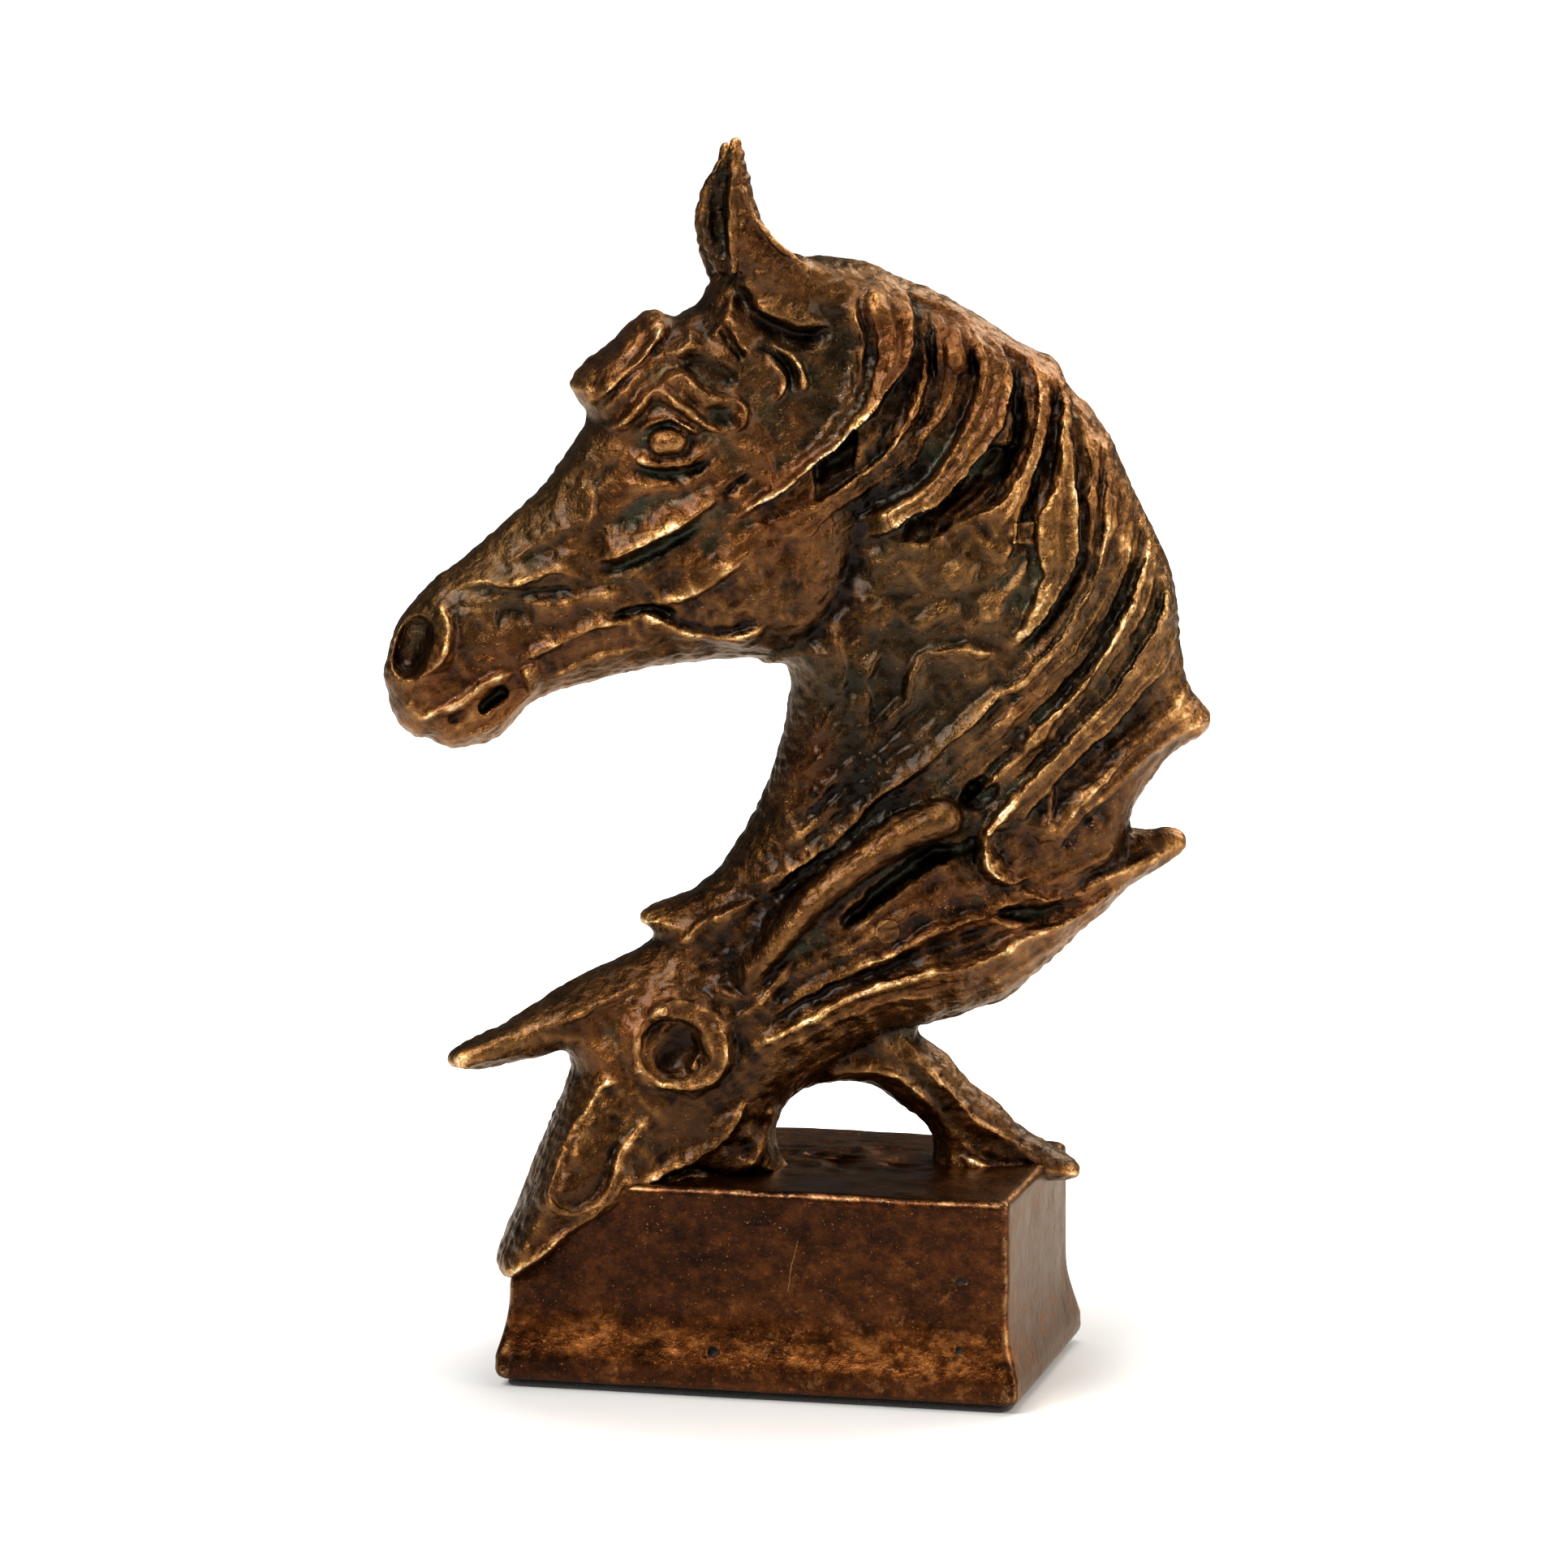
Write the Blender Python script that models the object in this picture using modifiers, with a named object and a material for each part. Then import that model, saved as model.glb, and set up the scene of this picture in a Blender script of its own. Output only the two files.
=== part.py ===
"""Bronze horse statue: a large horse's head and neck arched over a second, lower head, on a block base.

The bronze is cast in sections, doweled and welded, and bolted to a hollow base with a felt pad under it.
World frame: metres, +Z up, origin under the middle of the base, the base's long side along X.
Numbers called mm are millimetres. The sculpture's own plane stands across the base's diagonal:
in it, u runs along the plane (the muzzles point to -u), v through it, and z up.
"""

import math

import bmesh
import bpy
from mathutils import Matrix, Vector

MM = 0.001
GAP = 0.3  # mm left between neighbouring solids

# Driving dimensions, in mm
PLANE_TURN = 20.0  # degrees from the base's long side to the sculpture plane
PLANE_SHIFT = -3.0  # the plane's place across the base, at the middle
PAD_THICK = 1.5
PAD_INSET = 2.5
BASE_LENGTH, BASE_DEPTH = 115.0, 70.0  # at the waist
BASE_BOTTOM = PAD_THICK + GAP
BASE_TOP = 47.8
BASE_WALL = 5.5
PLATE_THICK = 6.0  # the base's top plate
FLARE = 3.0  # how far the base's foot stands out
CORE_HALF = 9.5  # half thickness of the hollow core
STUD_R, WASHER_R, NUT_FLATS = 2.5, 5.0, 8.0  # M5
WASHER_THICK, NUT_THICK = 1.0, 4.7
DOWEL_R = 2.0
PLUG_R = 1.8

# Parting lines between the castings, as (u, z) points in mm. Each starts and ends in open air.
HEAD_LINE = [(-12, 157), (2, 163.5), (10, 168), (18, 182), (28, 195), (40, 202), (47, 212),
             (49.5, 224), (47, 233), (52, 246)]
NECK_LINE = [(-32, 113), (-20, 109.5), (-8, 113), (8, 124), (22, 133), (37, 135.5), (43, 127),
             (42, 118), (47, 113.5), (56, 114), (62, 119), (70, 124), (84, 127)]
STRUT_LINE = [(2, 60), (0, 68), (4, 75), (12, 78), (22, 80.5), (27, 79), (37, 76)]
EAR_SEAT = [(-30, 247.5), (-13, 248.5), (-2, 252), (7, 256), (7, 300), (-30, 300)]

HEAD_OUTLINE = [(-15, 248), (-22, 242), (-31, 241.5), (-38, 236.5), (-46, 230), (-49, 225),
                (-45.5, 220), (-46, 215), (-52, 207), (-62, 196.5), (-75, 186), (-83, 179),
                (-88.5, 171), (-91, 162), (-89, 152), (-83, 147), (-75, 144.5), (-66, 147),
                (-60, 153), (-50, 157.5), (-37, 161), (-15, 163.5), (0, 163), (14, 158),
                (46, 190), (60, 229.5), (44, 239), (28, 247.5), (18, 252), (0, 254), (-8, 252)]
HEAD_CORE = [(-60, 176), (-40, 200), (-20, 222), (2, 236), (24, 232), (36, 214), (26, 192),
             (4, 176), (-20, 176), (-44, 172)]
NECK_OUTLINE = [(10, 180), (2, 163), (0.8, 157), (-1, 146), (-5.5, 132), (-12, 121), (-20, 109),
                (0, 96), (60, 104), (74, 118), (77, 125), (80, 131), (86, 139.5), (92, 143),
                (96, 147.5), (91.5, 156), (89, 168), (85, 185.5), (79.5, 197), (73, 211),
                (68, 219), (61.5, 227), (52, 234), (40, 241.5), (26, 244), (18, 215)]
NECK_CORE = [(26, 222), (44, 224), (58, 208), (70, 186), (74, 164), (64, 140), (52, 122),
             (26, 114), (10, 120), (14, 150), (22, 180)]
LOWER_OUTLINE = [(-66.5, 29), (-65, 25), (-60, 26.5), (-50, 35), (-40, 42), (-30, 44), (-10, 43),
                 (-3, 46), (-4, 54), (-1, 64), (8, 70), (28, 79), (38, 81), (52, 86.5),
                 (64, 97), (76, 108), (88, 115.5), (91, 120), (88, 123), (77, 125), (50, 140),
                 (10, 130), (-20, 111), (-31, 100), (-48, 88), (-51, 68), (-57, 51), (-63, 37)]
LOWER_CORE = [(12, 122), (52, 120), (58, 108), (44, 94), (10, 88), (-20, 80), (-24, 62),
              (-36, 62), (-38, 80), (-20, 98)]
STRUT_OUTLINE = [(-4, 66), (0, 65), (6, 66.5), (14, 67), (20, 65.5), (26, 60.5), (31, 54),
                 (34, 49), (35, 44), (62, 42.5), (66, 43.5), (65.5, 46.5), (60, 50), (48, 59.5),
                 (36, 71), (26, 80), (16, 84), (0, 80)]

# Stations (u, v, z, in-plane radius, half thickness) of the round forms
NOSE = [(-80, 0, 163, 10, 11), (-70, 0, 168, 15, 13), (-58, 0, 176, 17, 12.5),
        (-42, 0, 186, 20, 16), (-26, 0, 196, 24, 19.5), (-8, 0, 204, 28, 19)]
CHEEK = [(-22, 0, 184, 12, 16), (-6, 0, 186, 20, 20), (6, 0, 192, 21, 18)]
BROW = [(-36, 0, 214, 7, 17), (-26, 0, 219, 9, 21.5), (-14, 0, 219, 9, 19)]
POLL = [(-10, 0, 240, 8, 12), (2, 0, 238, 13, 15), (20, 0, 232, 17, 16)]
NAPE = [(-4, 0, 224, 20, 17), (14, 0, 218, 24, 17.5), (30, 0, 216, 22, 17.5), (42, 0, 212, 20, 17.5)]
NECK_BODY = [(44, 0, 212, 20, 18), (56, 0, 186, 24, 19), (44, 0, 158, 30, 19),
             (34, 0, 134, 28, 20), (20, 0, 116, 22, 20)]
THROAT = [(30, 0, 206, 14, 17), (23, 0, 188, 18, 17.5), (16, 0, 168, 17, 17.5),
          (12, 0, 148, 15, 17), (4, 0, 128, 13, 16), (-6, 0, 114, 9, 13)]
LOWER_BODY = [(50, 0, 108, 16, 18), (20, 0, 100, 18, 21), (-8, 0, 88, 18, 21),
              (-30, 0, 72, 19, 20), (-46, -1, 52, 14, 19), (-57.5, -3.5, 36, 10.5, 19)]
FORELOCK_SPIKE = [(-36, -4, 85, 9, 8), (-52, -5, 82, 6.5, 6), (-66, -6, 76.5, 4.6, 4.5),
                  (-74, -6, 74.5, 3, 3)]
SMALL_SPIKE = [(-12, 2, 106, 5, 8), (-24, 2, 106, 3.6, 5), (-31, 2, 105, 2.4, 3)]
LOWER_TIP = [(58, 0, 112, 12, 12), (74, 0, 116, 7, 8), (86, 0, 119.5, 4.5, 5)]
MANE_TIP = [(74, 0, 160, 14, 12), (84, 0, 152, 9, 8), (92, 0, 147, 4, 5)]
FOOT = [(36, 0, 62, 9, 9), (48, 0, 53, 8, 10), (58, 0, 48, 6, 9), (62, 0, 46, 4, 7)]
EAR_ROOT = [(4, 0, 238, 8, 6.5), (-3, 0, 246, 8, 7), (-5, 0, 254, 8, 6)]
EAR = [(-5, 0, 246, 8, 6.5), (-10, 0, 256, 7, 6), (-13.5, 0, 265, 5.5, 4.8),
       (-13.5, 0, 273, 3.8, 3.2), (-12.7, 0, 278.3, 1.9, 1.9)]
EAR_HOLLOW = [(-14, 0, 253, 1.8, 2.4), (-18.5, 0, 262, 2.8, 3), (-17.5, 0, 271, 1.5, 1.8)]
EAR_SPREAD = 9.5  # each ear's distance from the plane

# Raised forms repeated on both sides, their stations given for the far side
HEAD_RELIEF = {
    "lock_over_cheek": [(22, 10, 248, 4, 6), (25, 14, 240, 4, 5), (20, 16, 226, 4, 4),
                        (10, 17, 214, 3.6, 4), (-3, 18, 204, 3, 4), (-15, 18, 196.5, 1.6, 2.5)],
    "forelock": [(-6, 9, 247, 5, 5), (-18, 10, 246, 4, 5), (-30, 8, 237, 3.6, 5),
                 (-43, 6, 229, 3, 4)],
    "brow": [(-42, 13, 216, 2, 3), (-35, 17, 223, 2.6, 4), (-26, 19, 226.5, 3, 4),
             (-16, 18, 223, 2.6, 3.5)],
    "eyeball": [(-31, 17.5, 214.5, 3.2, 3.2), (-27, 18, 215, 3.4, 3.4)],
    "lower_lid": [(-37, 16, 212, 1.6, 2.5), (-29, 18.5, 209, 1.8, 3), (-21, 18, 211, 1.6, 2.5)],
    "facial_crest": [(-45, 13, 188, 2.6, 4), (-35, 16, 192, 2.4, 4), (-20, 18.5, 200, 1.8, 3)],
    "nostril_rim": [(-75, 8.5, 166, 2, 3.5), (-73.5, 9.5, 173, 2.2, 3.5), (-77, 9, 178.5, 2.2, 3.5),
                    (-83, 7, 178, 2, 3.5)],
    "chin": [(-79, 6, 150, 3, 5), (-70, 8, 151, 4, 5), (-61, 9, 156, 4.4, 5)],
}
NECK_RELIEF = {
    "lock_from_crest": [(43, 11, 237, 4, 6), (47, 14, 228, 4.4, 5), (44, 17, 217, 4.2, 4),
                        (36, 18, 206, 4, 4), (27, 18, 199, 3.4, 4), (17, 18, 193.5, 2, 3)],
    "lock_long": [(60, 9, 225, 3.6, 4), (59, 13, 212, 4, 5), (57, 16, 196, 4, 5),
                  (55, 17.5, 182, 3.4, 4), (47, 18, 169, 3, 4), (30, 18, 165.5, 2.6, 4),
                  (22, 17, 154, 1.8, 3)],
    "lock_rear": [(82, 8, 186, 4, 5), (79, 10, 172, 4.4, 5), (71, 14, 157, 4, 5),
                  (58, 16, 144, 3.4, 5), (47, 18, 133, 3.4, 4), (43, 18, 124, 3, 4)],
    "neck_ridge": [(15, 17, 130, 1.6, 3), (28, 18, 142, 2.4, 4), (42, 18.5, 153.5, 2.4, 4),
                   (54, 17.5, 157.5, 1.3, 2)],
}
LOWER_RELIEF = {
    "neck_roll": [(-13, 16, 92, 3, 5), (-7, 17, 101, 4, 6), (7, 17.5, 115, 4.6, 6),
                  (22, 18, 126, 4.6, 5), (33, 17, 129.5, 4, 4)],
    "lower_mane": [(64, 11, 104, 3, 5), (46, 16, 97.5, 3, 5), (28, 18.5, 93.5, 2.8, 5),
                   (8, 19, 88.5, 2.8, 4), (-8, 19, 78.5, 2, 3)],
    "eye_ring": [(-27 + 8.5 * math.cos(a), 17.5, 79 + 8 * math.sin(a), 2.6, 4)
                 for a in [math.pi * (0.25 + k / 4) for k in range(8)]],
    "face_edge": [(-44, 14, 68, 2, 4), (-53, 13, 52, 2, 4), (-54, 13, 43, 2, 4)],
}
NOSTRIL = [(-86, 12, 163, 4, 4), (-82, 13, 171, 5, 4.5)]
MOUTH = [(-92, 9, 151.5, 0.9, 9), (-78, 13, 151.5, 0.9, 6), (-66, 16, 156, 2.2, 5)]
LOWER_EYE = [(-28, 21, 76, 4.5, 6), (-28, 21, 79, 5, 6)]

STUD_PLACES = {"front": (-33, -2), "middle": (-9, 0), "foot": (49, 1)}  # (u, v)
STUD_TOPS = {"front": 62.0, "middle": 62.0, "foot": 53.5}
# Dowels as (u, v, z) of the middle and the angle of the axis above u, in degrees
DOWELS = {
    "head_dowel_upper": ((48.3, 0, 218.5), -12, 16),
    "head_dowel_lower": ((14, 0, 175), -30, 12),
    "neck_dowel_front": ((-7, 0, 113.8), 120, 14),
    "neck_dowel_rear": ((66, 0, 121.5), 130, 12),
    "strut_dowel": ((17, 0, 79.2), 100, 12),
}
EAR_DOWEL = ((-7.5, 252.6), 118, 9)
# Core plugs as (u, z), the side they sit on and the depth of the outer end
CORE_PLUGS = {
    "core_plug_neck_near": ((51, 191), -1, 19.3),
    "core_plug_neck_far": ((46, 176), 1, 19.3),
    "core_plug_lower_near": ((20, 104), -1, 21.3),
    "core_plug_lower_far": ((24, 106), 1, 21.3),
}

TURN = math.radians(PLANE_TURN)
PLANE = Matrix.Translation((0, PLANE_SHIFT * MM, 0)) @ Matrix.Rotation(TURN, 4, "Z")


# ---------------------------------------------------------------- scene and objects
def clear_scene():
    for obj in list(bpy.data.objects):
        bpy.data.objects.remove(obj)


def new_collection(name):
    collection = bpy.data.collections.new(name)
    bpy.context.scene.collection.children.link(collection)
    return collection


def new_object(name, mesh, collection, parent=None):
    obj = bpy.data.objects.new(name, mesh)
    collection.objects.link(obj)
    obj.parent = parent
    return obj


def as_cutter(obj):
    obj.hide_render = True
    obj.display_type = "WIRE"
    return obj


def cut(obj, cutter, operation="DIFFERENCE"):
    modifier = obj.modifiers.new(f"{operation.lower()} {cutter.name}", "BOOLEAN")
    modifier.operation = operation
    modifier.solver = "EXACT"
    modifier.object = cutter


def material(name, colour, roughness, metallic):
    made = bpy.data.materials.new(name)
    made.use_nodes = True
    shader = made.node_tree.nodes["Principled BSDF"]
    shader.inputs["Base Color"].default_value = (*colour, 1.0)
    shader.inputs["Roughness"].default_value = roughness
    shader.inputs["Metallic"].default_value = metallic
    return made


# ---------------------------------------------------------------- meshes
def upright(mesh):
    """Turns a mesh drawn in x and y so that y becomes z, and thickness runs along v."""
    mesh.transform(Matrix.Rotation(math.pi / 2, 4, "X"))
    return mesh


def slab(points, half, edge=0.0, smooth=True):
    """A closed outline in the sculpture plane, `half` mm to each side, its edges rounded by `edge` mm."""
    curve = bpy.data.curves.new("outline", "CURVE")
    curve.dimensions = "2D"
    curve.fill_mode = "BOTH"
    curve.resolution_u = 3 if smooth else 1
    curve.extrude = (half - edge) * MM
    curve.bevel_depth = edge * MM
    curve.bevel_resolution = 2
    curve.offset = -edge * MM
    spline = curve.splines.new("BEZIER" if smooth else "POLY")
    if smooth:
        spline.bezier_points.add(len(points) - 1)
        for point, (u, z) in zip(spline.bezier_points, points):
            point.co = (u * MM, z * MM, 0)
            point.handle_left_type = point.handle_right_type = "AUTO"
    else:
        spline.points.add(len(points) - 1)
        for point, (u, z) in zip(spline.points, points):
            point.co = (u * MM, z * MM, 0, 1)
    spline.use_cyclic_u = True
    drawn = bpy.data.objects.new("outline", curve)
    bpy.context.scene.collection.objects.link(drawn)
    bpy.context.view_layer.update()
    graph = bpy.context.evaluated_depsgraph_get()
    mesh = bpy.data.meshes.new_from_object(drawn.evaluated_get(graph))
    bpy.data.objects.remove(drawn)
    return upright(welded(mesh))


def welded(mesh):
    bm = bmesh.new()
    bm.from_mesh(mesh)
    bmesh.ops.remove_doubles(bm, verts=bm.verts, dist=0.00001)
    bmesh.ops.recalc_face_normals(bm, faces=bm.faces)
    bm.to_mesh(mesh)
    bm.free()
    return mesh


def loft(stations, sides=20, cap_rings=3):
    """A round form with domed ends, through sections of (u, v, z, in-plane radius, half thickness)."""
    centres = [Vector((u, v, z)) for u, v, z, _, _ in stations]
    sections = []
    for i, (_, _, _, radius, half) in enumerate(stations):
        along = (centres[min(i + 1, len(centres) - 1)] - centres[max(i - 1, 0)]).normalized()
        sections.append((centres[i], along, radius, half))
    first, last = sections[0], sections[-1]
    steps = [math.pi / 2 * k / (cap_rings + 1) for k in range(1, cap_rings + 1)]
    start = [dome(first, -1, angle) for angle in reversed(steps)]
    end = [dome(last, 1, angle) for angle in steps]
    bm = bmesh.new()
    rings = [ring(bm, section, sides) for section in start + sections + end]
    for low, high in zip(rings, rings[1:]):
        for k in range(sides):
            bm.faces.new((low[k], low[(k + 1) % sides], high[(k + 1) % sides], high[k]))
    bm.faces.new(rings[0])
    bm.faces.new(rings[-1])
    bmesh.ops.recalc_face_normals(bm, faces=bm.faces)
    mesh = bpy.data.meshes.new("loft")
    bm.to_mesh(mesh)
    bm.free()
    return mesh


def dome(section, way, angle):
    centre, along, radius, half = section
    reach = min(radius, half) * math.sin(angle)
    return centre + along * (way * reach), along, radius * math.cos(angle), half * math.cos(angle)


def ring(bm, section, sides):
    centre, along, radius, half = section
    across = Vector((0, 1, 0))
    normal = along.cross(across).normalized()
    corners = [2 * math.pi * k / sides for k in range(sides)]
    return [bm.verts.new((centre + normal * radius * math.cos(a) + across * half * math.sin(a)) * MM)
            for a in corners]


def cylinder(radius, length, sides=16):
    """Along z, centred, in mm."""
    bm = bmesh.new()
    bmesh.ops.create_cone(bm, cap_ends=True, segments=sides, radius1=radius * MM,
                          radius2=radius * MM, depth=length * MM)
    mesh = bpy.data.meshes.new("cylinder")
    bm.to_mesh(mesh)
    bm.free()
    return mesh


def joined(meshes):
    bm = bmesh.new()
    for mesh in meshes:
        bm.from_mesh(mesh)
    mesh = bpy.data.meshes.new("joined")
    bm.to_mesh(mesh)
    bm.free()
    return mesh


def cast(name, meshes, collection, parent, ratio, voxel=1.8, soften=3):
    """One casting's outer form: the meshes run together as wax would be, softened, and thinned to a few faces."""
    obj = new_object(name, joined(meshes), collection, parent)
    run_together(obj, voxel, soften, ratio)
    return obj


def run_together(obj, voxel, soften, ratio):
    remesh = obj.modifiers.new("run together", "REMESH")
    remesh.mode = "VOXEL"
    remesh.voxel_size = voxel * MM
    if soften:
        smooth = obj.modifiers.new("soften", "SMOOTH")
        smooth.factor = 0.5
        smooth.iterations = soften
    thin = obj.modifiers.new("fewer faces", "DECIMATE")
    thin.ratio = ratio


# ---------------------------------------------------------------- parting lines and regions
def moved_aside(line, by):
    """The line moved sideways: to its left where `by` is positive."""
    made = []
    for i, point in enumerate(line):
        before, after = Vector(line[max(i - 1, 0)]), Vector(line[min(i + 1, len(line) - 1)])
        along = (after - before).normalized()
        made.append((point[0] - along.y * by, point[1] + along.x * by))
    return made


def region(name, points, cutters, frame, half=60.0):
    return as_cutter(new_object(name, slab(points, half, smooth=False), cutters, frame))


def make_regions(cutters, frame):
    """A prism for each casting, with the gap between neighbours along their parting line."""
    side = GAP / 2
    head, neck, strut = (
        {"left": moved_aside(line, side), "right": moved_aside(line, -side)}
        for line in (HEAD_LINE, NECK_LINE, STRUT_LINE)
    )
    far = 130.0
    return {
        "head": region("head_region", head["left"] + [(52, 300), (-far, 300), (-far, 135),
                                                      (-12, 135)], cutters, frame),
        "neck": region("neck_region", head["right"] + [(far, 246), (far, 127)]
                       + neck["left"][::-1] + [(-32, 157)], cutters, frame),
        "lower": region("lower_region", neck["right"] + [(far, 127), (far, 76)]
                        + strut["left"][::-1] + [(2, 0), (-far, 0), (-far, 113)], cutters, frame),
        "strut": region("strut_region", strut["right"] + [(far, 76), (far, 0), (2, 0)], cutters, frame),
    }


# ---------------------------------------------------------------- base
def base_section(height):
    """How far the base's side stands out from its waist at this height above the base's underside."""
    foot, waist, top = 5.0, 20.0, BASE_TOP - BASE_BOTTOM
    if height < 2.0:
        return FLARE - 1.2 * (1 - height / 2.0) ** 2
    if height < foot:
        return FLARE
    if height < waist:
        share = (height - foot) / (waist - foot)
        return FLARE * (1 - math.sin(share * math.pi / 2))
    rounding = 2.0
    if height > top - rounding:
        return -rounding + rounding * math.sqrt(max(0.0, 1 - ((height - top + rounding) / rounding) ** 2))
    return 0.0


def rounded_rectangle(half_x, half_y, radius, arc=4):
    corners = []
    for quarter, (sx, sy) in enumerate(((1, 1), (-1, 1), (-1, -1), (1, -1))):
        for k in range(arc + 1):
            angle = math.pi / 2 * (quarter + k / arc)
            corners.append((sx * (half_x - radius) + radius * math.cos(angle),
                            sy * (half_y - radius) + radius * math.sin(angle)))
    return corners


def base_mesh(grow=0.0):
    """The block, its foot flared by a hollow moulding. `grow` makes it larger all over, for a cutter."""
    tall = BASE_TOP - BASE_BOTTOM
    heights = [0, 0.8, 2, 5, 8, 11, 14, 17, 20, tall - 2, tall - 1.2, tall - 0.5, tall]
    bm = bmesh.new()
    rings = []
    for height in heights:
        out = base_section(height) + grow
        z = BASE_BOTTOM + height + (grow if height == tall else -grow if height == 0 else 0)
        outline = rounded_rectangle(BASE_LENGTH / 2 + out, BASE_DEPTH / 2 + out, 2.5 + max(out, 0) / 2)
        rings.append([bm.verts.new((x * MM, y * MM, z * MM)) for x, y in outline])
    for low, high in zip(rings, rings[1:]):
        count = len(low)
        for k in range(count):
            bm.faces.new((low[k], low[(k + 1) % count], high[(k + 1) % count], high[k]))
    bm.faces.new(rings[0])
    bm.faces.new(rings[-1])
    bmesh.ops.recalc_face_normals(bm, faces=bm.faces)
    mesh = bpy.data.meshes.new("base")
    bm.to_mesh(mesh)
    bm.free()
    return mesh


def prism(half_x, half_y, low, high, radius):
    """An upright block with round corners, from z `low` to z `high`, in mm."""
    bm = bmesh.new()
    outline = rounded_rectangle(half_x, half_y, radius)
    floor = bm.faces.new([bm.verts.new((x * MM, y * MM, low * MM)) for x, y in outline])
    raised = bmesh.ops.extrude_face_region(bm, geom=[floor])
    verts = [v for v in raised["geom"] if isinstance(v, bmesh.types.BMVert)]
    bmesh.ops.translate(bm, verts=verts, vec=(0, 0, (high - low) * MM))
    bmesh.ops.recalc_face_normals(bm, faces=bm.faces)
    mesh = bpy.data.meshes.new("prism")
    bm.to_mesh(mesh)
    bm.free()
    return mesh


def upright_round(name, radius, length, place, z, collection, sides=16):
    """A cylinder, or a hexagon, that stands at (u, v) = `place` with its middle at height z."""
    obj = new_object(name, cylinder(radius, length, sides), collection)
    obj.location = PLANE @ (Vector((*place, z)) * MM)
    return obj


def make_base(parts, cutters, bronze, felt):
    base = new_object("base_casting", base_mesh(), parts)
    base.data.materials.append(bronze)
    hollow = prism(BASE_LENGTH / 2 - BASE_WALL, BASE_DEPTH / 2 - BASE_WALL, -5,
                   BASE_TOP - PLATE_THICK, 4)
    cut(base, as_cutter(new_object("base_hollow", hollow, cutters)))
    for name, place in STUD_PLACES.items():
        hole = upright_round(f"stud_hole_{name}", STUD_R + GAP, 30, place, BASE_TOP, cutters)
        cut(base, as_cutter(hole))
    foot_x, foot_y = BASE_LENGTH / 2 + FLARE, BASE_DEPTH / 2 + FLARE
    pad = prism(foot_x - PAD_INSET, foot_y - PAD_INSET, 0, PAD_THICK, 3)
    new_object("felt_pad", pad, parts).data.materials.append(felt)


def make_fixings(parts, cutters, steel):
    """A stud in each foot of the sculpture, with a washer and a nut under the base's top plate."""
    under = BASE_TOP - PLATE_THICK - GAP
    washer_z = under - WASHER_THICK / 2
    nut_z = under - WASHER_THICK - GAP - NUT_THICK / 2
    stud_bottom = nut_z - NUT_THICK / 2 - 3
    nut_corner = NUT_FLATS / 2 / math.cos(math.pi / 6)
    for name, place in STUD_PLACES.items():
        length = STUD_TOPS[name] - stud_bottom
        clearance = upright_round(f"nut_hole_{name}", STUD_R + GAP, 30, place, nut_z, cutters)
        as_cutter(clearance)
        stud = upright_round(f"stud_{name}", STUD_R, length, place, stud_bottom + length / 2, parts)
        washer = upright_round(f"washer_{name}", WASHER_R, WASHER_THICK, place, washer_z, parts, 24)
        nut = upright_round(f"nut_{name}", nut_corner, NUT_THICK, place, nut_z, parts, 6)
        cut(washer, clearance)
        cut(nut, clearance)
        for obj in (stud, washer, nut):
            obj.data.materials.append(steel)


# ---------------------------------------------------------------- sculpture
def on_side(stations, side):
    return loft([(u, side * v, z, r, w) for u, v, z, r, w in stations])


def raised(stations):
    return [(u, v + EAR_SPREAD, z, r, w) for u, v, z, r, w in stations]


def both_sides(relief):
    return [on_side(stations, side) for stations in relief.values() for side in (-1, 1)]


def make_ears(parts, cutters, frame, head):
    """Each ear's seat is cut into the head, and the ear is cut off at the seat."""
    ears = {}
    for side, name in ((-1, "near_ear"), (1, "far_ear")):
        spread = side * EAR_SPREAD
        stations = [(u, v + spread, z, r, w) for u, v, z, r, w in EAR]
        ear = cast(name, [loft(stations)], parts, frame, 0.35, voxel=1.2, soften=2)
        hollow = loft([(u, v + spread, z, r, w) for u, v, z, r, w in EAR_HOLLOW])
        cut(ear, as_cutter(new_object(f"{name}_hollow", hollow, cutters, frame)))
        for label, grow, owner, way in (("seat", GAP, head, "DIFFERENCE"), ("end", 0, ear, "INTERSECT")):
            outline = [(u, z - grow if z < 300 else z) for u, z in EAR_SEAT]
            cutter = region(f"{name}_{label}", outline, cutters, frame, half=8.5 + grow)
            cutter.location.y = spread * MM
            cut(owner, cutter, way)
        ears[name] = ear
    return ears


def carve(casting, label, stations, cutters, frame):
    for side in (-1, 1):
        hollow = as_cutter(new_object(f"{label}_{side + 1}", on_side(stations, side), cutters, frame))
        cut(casting, hollow)


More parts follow.
